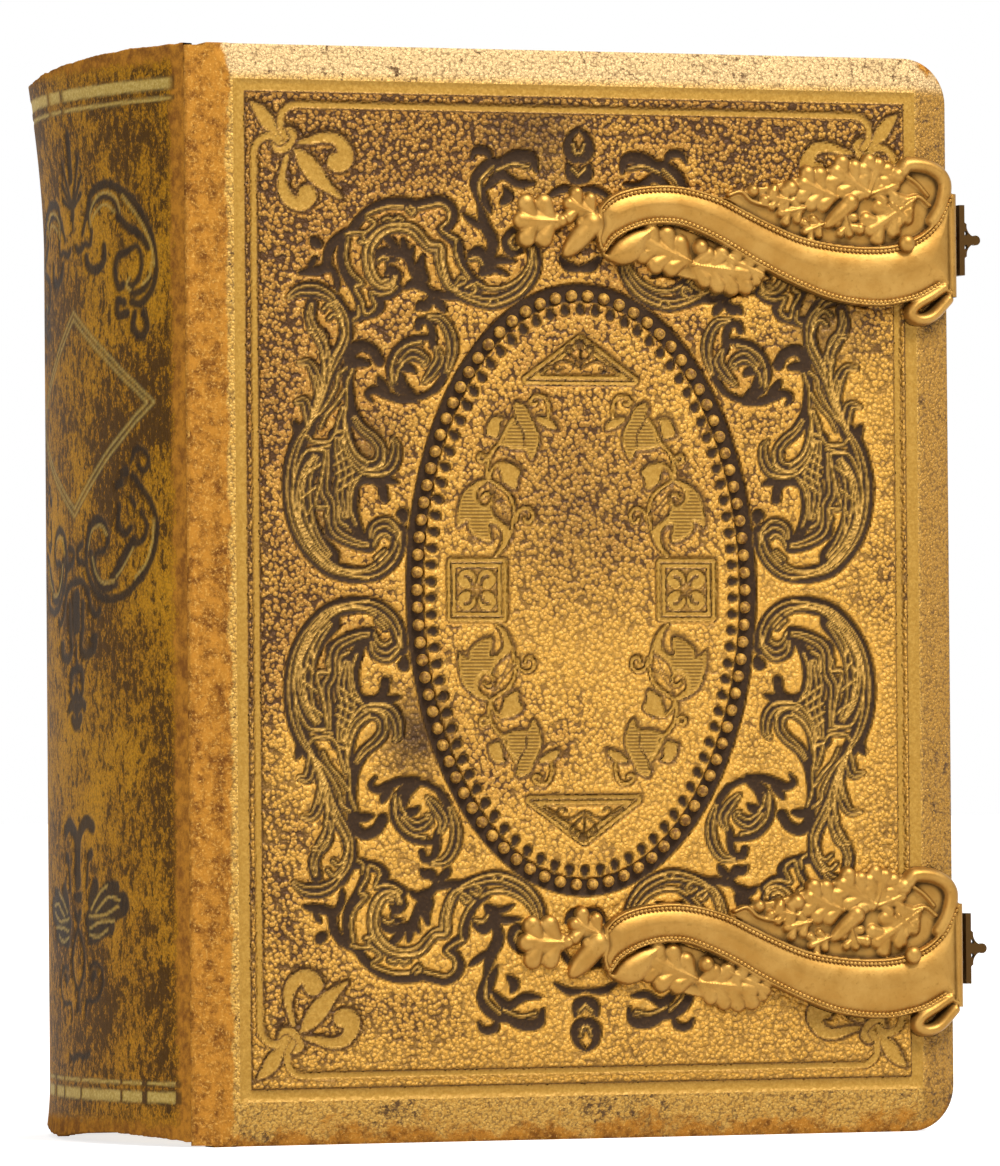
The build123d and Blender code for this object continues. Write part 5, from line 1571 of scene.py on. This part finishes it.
class ReliefSheet:
    """Heights of one clasp's stamped face over the panel, below zero where it has no brass."""

    def __init__(self):
        left, right, low, high = CLASP_REACH
        self.origin = (left, low)
        self.x = np.arange(left, right, CLASP_CELL)
        self.z = np.arange(low, high, CLASP_CELL)
        self.field = np.full((len(self.z), len(self.x)), -1.0)

    def dome(self, path, radii, heights):
        dome(self.field, self.origin, CLASP_CELL, path, radii, heights)

    def drawn(self, points):
        return np.array(from_sheet(points, CLASP_SHEET, CLASP_UNITS))

    def depth_in(self, outline):
        return shape_depth(self.x, self.z, outline)

    def raise_to(self, heights, where):
        self.field = np.where(where, np.maximum(self.field, heights), self.field)

    def strap(self):
        """Smooth strap with a raised rim along both edges."""
        head = smooth_path(self.drawn(STRAP_HEAD), 0.5)
        tail = smooth_path(self.drawn(STRAP_TAIL), 0.5)
        outline = np.vstack([head, self.drawn(STRAP_END), tail[::-1], self.drawn(STRAP_START)])
        depth = self.depth_in(outline)
        rim = STRAP_FLOOR + STRAP_RIM * np.sin(np.pi * np.clip(depth / 0.55, 0, 1))
        body = STRAP_FLOOR + STRAP_SWELL * (1 - np.exp(-np.clip(depth - 0.85, 0, None) / 1.4))
        self.raise_to(np.maximum(rim, body), depth > 0)
        lobe = self.depth_in(smooth_path(self.drawn(HOOK_LOBE), 0.5))
        self.raise_to(0.7 + 1.1 * (1 - np.exp(-lobe / 0.7)), lobe > 0)
        for ground in (HEAD_GROUND, TAIL_GROUND):
            self.raise_to(GROUND_LIFT, self.depth_in(self.drawn(ground)) > 0)
        for line, radius in ((CURL_HEAD, 1.15), (CURL_TAIL, 0.95)):
            self.ridge(self.drawn(line), radius, 1.75)

    def ridge(self, points, radius, height):
        path = smooth_path(points, 0.12)
        self.dome(path, np.full(len(path), radius), np.full(len(path), height))

    def ball(self, place, radius, height):
        self.dome([place], [radius], [height])

    def oak_leaf(self, stalk, tip, half, lobes):
        """Leaf of rounded lobes, club-shaped, on both sides of a rib."""
        along = tip - stalk
        side = np.array([-along[1], along[0]]) / np.linalg.norm(along)
        blade = np.linspace(stalk + along * 0.12, stalk + along * 0.85, 24)
        breadth = half * (0.35 + 0.4 * np.sin(np.pi * np.linspace(0.15, 0.85, 24)))
        self.dome(blade, breadth, np.full(24, 1.0))
        for k in range(lobes):
            share = (k + 0.6) / (lobes + 0.35)
            reach = half * (0.85 if 0 < k < lobes - 1 or lobes < 3 else 0.66)
            for turn in (-1, 1):
                root = stalk + along * (share - 0.1)
                lobe = np.linspace(root, root + along * 0.2 + side * turn * reach, 14)
                self.dome(lobe, half * np.linspace(0.3, 0.52, 14), np.linspace(1.0, 1.25, 14))
        rib = np.linspace(stalk, stalk + along * 0.9, 20)
        self.dome(rib, half * np.linspace(0.2, 0.5, 20), np.linspace(1.1, 1.3, 20))
        self.dome(rib, np.full(20, 0.26), np.linspace(1.5, 1.35, 20))

    def acorn(self, cup, tip, radius):
        """Nut that narrows to its tip, in a round cup."""
        nut = np.linspace(cup, tip, 40)
        share = np.linspace(0, 1, 40)
        radii = radius * np.sqrt(np.clip(1 - share**3, 0.02, 1))
        self.dome(nut, radii, 0.5 + 1.3 * radii / radius)
        self.ball(cup, radius * 1.12, 2.0)

    def stamp(self):
        """Softened heights of the whole clasp, and how deep each point lies among its neighbours."""
        for stalk, tip, half, lobes in OAK_LEAVES:
            self.oak_leaf(*self.drawn([stalk, tip]), half, lobes)
        for line in TENDRILS:
            self.ridge(self.drawn(line), 0.36, 1.15)
        for place, radius in CLASP_BALLS:
            self.ball(self.drawn([place])[0], radius, 0.75 + 0.75 * radius)
        for cup, tip, radius in ACORNS:
            self.acorn(*self.drawn([cup, tip]), radius)
        self.strap()
        floor = np.maximum(self.field, BRASS_FROM)
        hollow = np.clip((blurred(floor, 1.3, CLASP_CELL) - floor) / 0.5, 0, 1)
        return blurred(np.maximum(self.field, -0.5), 0.17, CLASP_CELL), hollow


class ALBUM_OT_clasps(AlbumOperator):
    """Stamped brass clasps with rope edges, oak leaves and acorns."""

    bl_idname = "album.clasps"
    bl_label = "Clasps"

    def execute(self, context):
        brass = stamped_brass(self.looks)
        sheet = ReliefSheet()
        field, hollow = sheet.stamp()
        rows, columns = field.shape
        quads = grid_faces(rows, columns)
        kept = quads[(field.ravel()[quads] > BRASS_FROM).any(axis=1)]
        used = np.unique(kept)
        index = np.full(rows * columns, -1)
        index[used] = np.arange(len(used))
        px, pz = np.meshgrid(sheet.x, sheet.z)
        face = np.stack([JOINT_X + px, FRONT_Y - field, pz], axis=-1).reshape(-1, 3)[used]
        turn = small_ball("rope turn", ROPE_RADIUS, (0.75, 0.9, 1.35), 8, 6)
        for level, middle in CLASP_MIDDLES.items():
            points = face + (0.0, 0.0, middle)
            piece = new_piece(f"{level}_clasp", points, index[kept], brass, {"hollow": hollow.ravel()[used]})
            fit(piece, "front_cover", "clasp_brass")
            self.flange(level, middle, brass)
            for edge, line, inset in (("head", STRAP_HEAD, 0.72), ("tail", STRAP_TAIL, -0.62)):
                path = smooth_path(sheet.drawn(line), 0.3)
                path = path + inset * sideways(path)
                places = [(JOINT_X + x, FRONT_Y - ROPE_LIFT, middle + z) for x, z in path]
                name = f"{level}_rope_{edge}"
                rope = repeat_on_path(name, places, turn, self.looks.rope_pitch, brass, False, ROPE_LEAN)
                with_attribute(rope, "hollow", 0.08)
                fit(rope, "front_cover", "clasp_brass")
            x, z = sheet.drawn([RIVET_PLACE])[0]
            rivet = small_ball(f"{level}_clasp_rivet", RIVET_RADIUS, (1, 0.9, 1), 24, 16)
            place = Vector((JOINT_X + x, FRONT_Y - RIVET_LIFT, middle + z)) * MM
            rivet.data.transform(Matrix.Translation(place))
            rivet.data.materials.append(brass)
            with_attribute(rivet, "hollow", 0.0)
            fit(rivet, "front_cover", "clasp_brass", f"{level}_clasp_pins")
        bpy.data.objects.remove(turn)
        return {"FINISHED"}

    def flange(self, level, middle, brass):
        """Turned-down flange of a clasp on the fore edge, at the strap's broad end."""
        profile = []
        for turn in np.linspace(0, math.pi / 2, 9):
            profile.append((FLANGE_OUT - 1.05 + 1.05 * math.sin(turn), 0.2 + 1.35 * math.cos(turn)))
        for share in np.linspace(0.15, 1, 6):
            profile.append((FLANGE_OUT, 0.2 - FLANGE_DROP * share))
        out, lift = np.array(profile).T
        height = np.linspace(FLANGE_LOW, FLANGE_HIGH, 60)[:, None]
        spread = np.broadcast_arrays(FORE_X + out[None, :], FRONT_Y - lift[None, :], middle + height)
        points = np.stack(spread, axis=-1)
        hollow = {"hollow": np.full(points.shape[:2], 0.12)}
        faces = grid_faces(*points.shape[:2])
        piece = new_piece(f"{level}_flange", points.reshape(-1, 3), faces, brass, hollow)
        fit(piece, "front_cover", "clasp_brass", f"{level}_clasp_plate")


class ALBUM_OT_plain_parts(AlbumOperator):
    """Finishes of the leaves, endpapers, boards, hasps, hinges and pins, whose solids stay."""

    bl_idname = "album.plain_parts"
    bl_label = "Leaves, papers and fittings"

    def execute(self, context):
        brass = stamped_brass(self.looks, "fitting brass", 0.12)
        # Catches, hasps and hinge pins get brass painted dark throughout, as painted shade
        shade_dark_brass = stamped_brass(self.looks, "dark brass", 1.15)
        finishes = {
            "page_block": leaf_card(),
            "spine_lining": plain_finish("lining cloth", (0.2, 0.15, 0.09), (0.33, 0.26, 0.17), 320.0, 0.9),
        }
        paper = plain_finish("endpaper", (0.5, 0.43, 0.31), (0.62, 0.55, 0.42), 55.0, 0.5)
        board = plain_finish("millboard", (0.26, 0.19, 0.11), (0.38, 0.29, 0.18), 240.0, 0.9)
        for side in ("front", "back"):
            finishes[f"{side}_pastedown"] = paper
            finishes[f"{side}_board"] = board
        for level in CLASP_MIDDLES:
            for part in ("catch", "hasp", "hinge_pin"):
                finishes[f"{level}_{part}"] = shade_dark_brass
            for part in ("hinge_plate", "plate_pins"):
                finishes[f"{level}_{part}"] = brass
        for node, material in finishes.items():
            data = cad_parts[node].data
            data.materials.clear()
            data.materials.append(material)
        return {"FINISHED"}


class ALBUM_OT_stage(AlbumOperator):
    """Camera of the photograph's view, pale floor and soft studio light."""

    bl_idname = "album.stage"
    bl_label = "Stage"

    def execute(self, context):
        scene = context.scene
        scene.view_settings.view_transform = "Standard"
        azimuth, elevation = math.radians(VIEW_AZIMUTH), math.radians(VIEW_ELEVATION)
        level = math.cos(elevation)
        look = Vector((-math.sin(azimuth) * level, math.cos(azimuth) * level, -math.sin(elevation)))
        camera = bpy.data.cameras.new("camera")
        camera.sensor_fit = "HORIZONTAL"
        camera.sensor_width = SENSOR_WIDTH
        camera.lens = SENSOR_WIDTH * LENS_SHARE
        camera.clip_end = 100.0
        eye = bpy.data.objects.new("camera", camera)
        roll = Matrix.Rotation(math.radians(VIEW_ROLL), 3, "Z")
        eye.rotation_euler = (look.to_track_quat("-Z", "Y").to_matrix() @ roll).to_euler()
        eye.location = (Vector(VIEW_MIDDLE) - look * VIEW_DISTANCE) * MM
        scene.collection.objects.link(eye)
        scene.camera = eye
        floor = self.floor()
        for lamp in LAMPS:
            self.light(*lamp)
        self.world(scene)
        return {"FINISHED"}

    def floor(self):
        """Pale floor that keeps the album's shadow and fades to white in the distance."""
        f = Finish("pale floor")
        away = f.add("ShaderNodeVectorMath", {0: f.place}, operation="LENGTH").outputs["Value"]
        glow = f.math("MULTIPLY", f.background_rays(), f.ramp(away, 0.15, 0.6, 0.72, 1.0))
        paint = f.finish(Base_Color=FLOOR_GREY, Roughness=0.9, Emission_Color=WHITE, Emission_Strength=glow)
        corners = [(x * FLOOR_REACH, y * FLOOR_REACH, 0) for x, y in ((-1, -1), (1, -1), (1, 1), (-1, 1))]
        mesh = bpy.data.meshes.new("floor")
        mesh.from_pydata(corners, [], [(0, 1, 2, 3)])
        mesh.materials.append(paint)
        floor = bpy.data.objects.new("floor", mesh)
        bpy.context.scene.collection.objects.link(floor)
        return floor

    def light(self, name, place, size, power):
        """Soft square lamp."""
        lamp = bpy.data.lights.new(name, "AREA")
        lamp.size = size
        lamp.energy = power
        light = bpy.data.objects.new(name, lamp)
        light.location = place
        light.rotation_euler = (Vector(LAMP_AIM) - Vector(place)).to_track_quat("-Z", "Y").to_euler()
        bpy.context.scene.collection.objects.link(light)

    def world(self, scene):
        """White background that gives the room only a little light."""
        world = bpy.data.worlds.new("studio")
        world.use_nodes = True
        world.node_tree.nodes.clear()
        scene.world = world
        nodes = Nodes(world.node_tree)
        strength = nodes.ramp(nodes.background_rays(), 0.0, 1.0, ROOM_LIGHT, 1.0)
        sky = nodes.add("ShaderNodeBackground", {"Color": WHITE, "Strength": strength})
        nodes.add("ShaderNodeOutputWorld", {"Surface": sky.outputs[0]})


STEPS = (
    ALBUM_OT_front_cover,
    ALBUM_OT_back_cover,
    ALBUM_OT_spine,
    ALBUM_OT_clasps,
    ALBUM_OT_plain_parts,
    ALBUM_OT_stage,
)


class ALBUM_PT_steps(bpy.types.Panel):
    """Lists the album's steps and looks."""

    bl_idname = "ALBUM_PT_steps"
    bl_label = "Photo album"
    bl_space_type = "VIEW_3D"
    bl_region_type = "UI"
    bl_category = "Album"

    def draw(self, context):
        for name in AlbumLooks.__annotations__:
            self.layout.prop(context.scene.album_looks, name)
        for step in STEPS:
            self.layout.operator(step.bl_idname)


CLASSES = (AlbumLooks, *STEPS, ALBUM_PT_steps)


def register():
    for kind in CLASSES:
        bpy.utils.register_class(kind)
    bpy.types.Scene.album_looks = bpy.props.PointerProperty(type=AlbumLooks)


def unregister():
    del bpy.types.Scene.album_looks
    for kind in reversed(CLASSES):
        bpy.utils.unregister_class(kind)


def main():
    register()
    bpy.ops.album.front_cover()
    bpy.ops.album.back_cover()
    bpy.ops.album.spine()
    bpy.ops.album.clasps()
    bpy.ops.album.plain_parts()
    bpy.ops.album.stage()


if __name__ == "__main__":
    main()
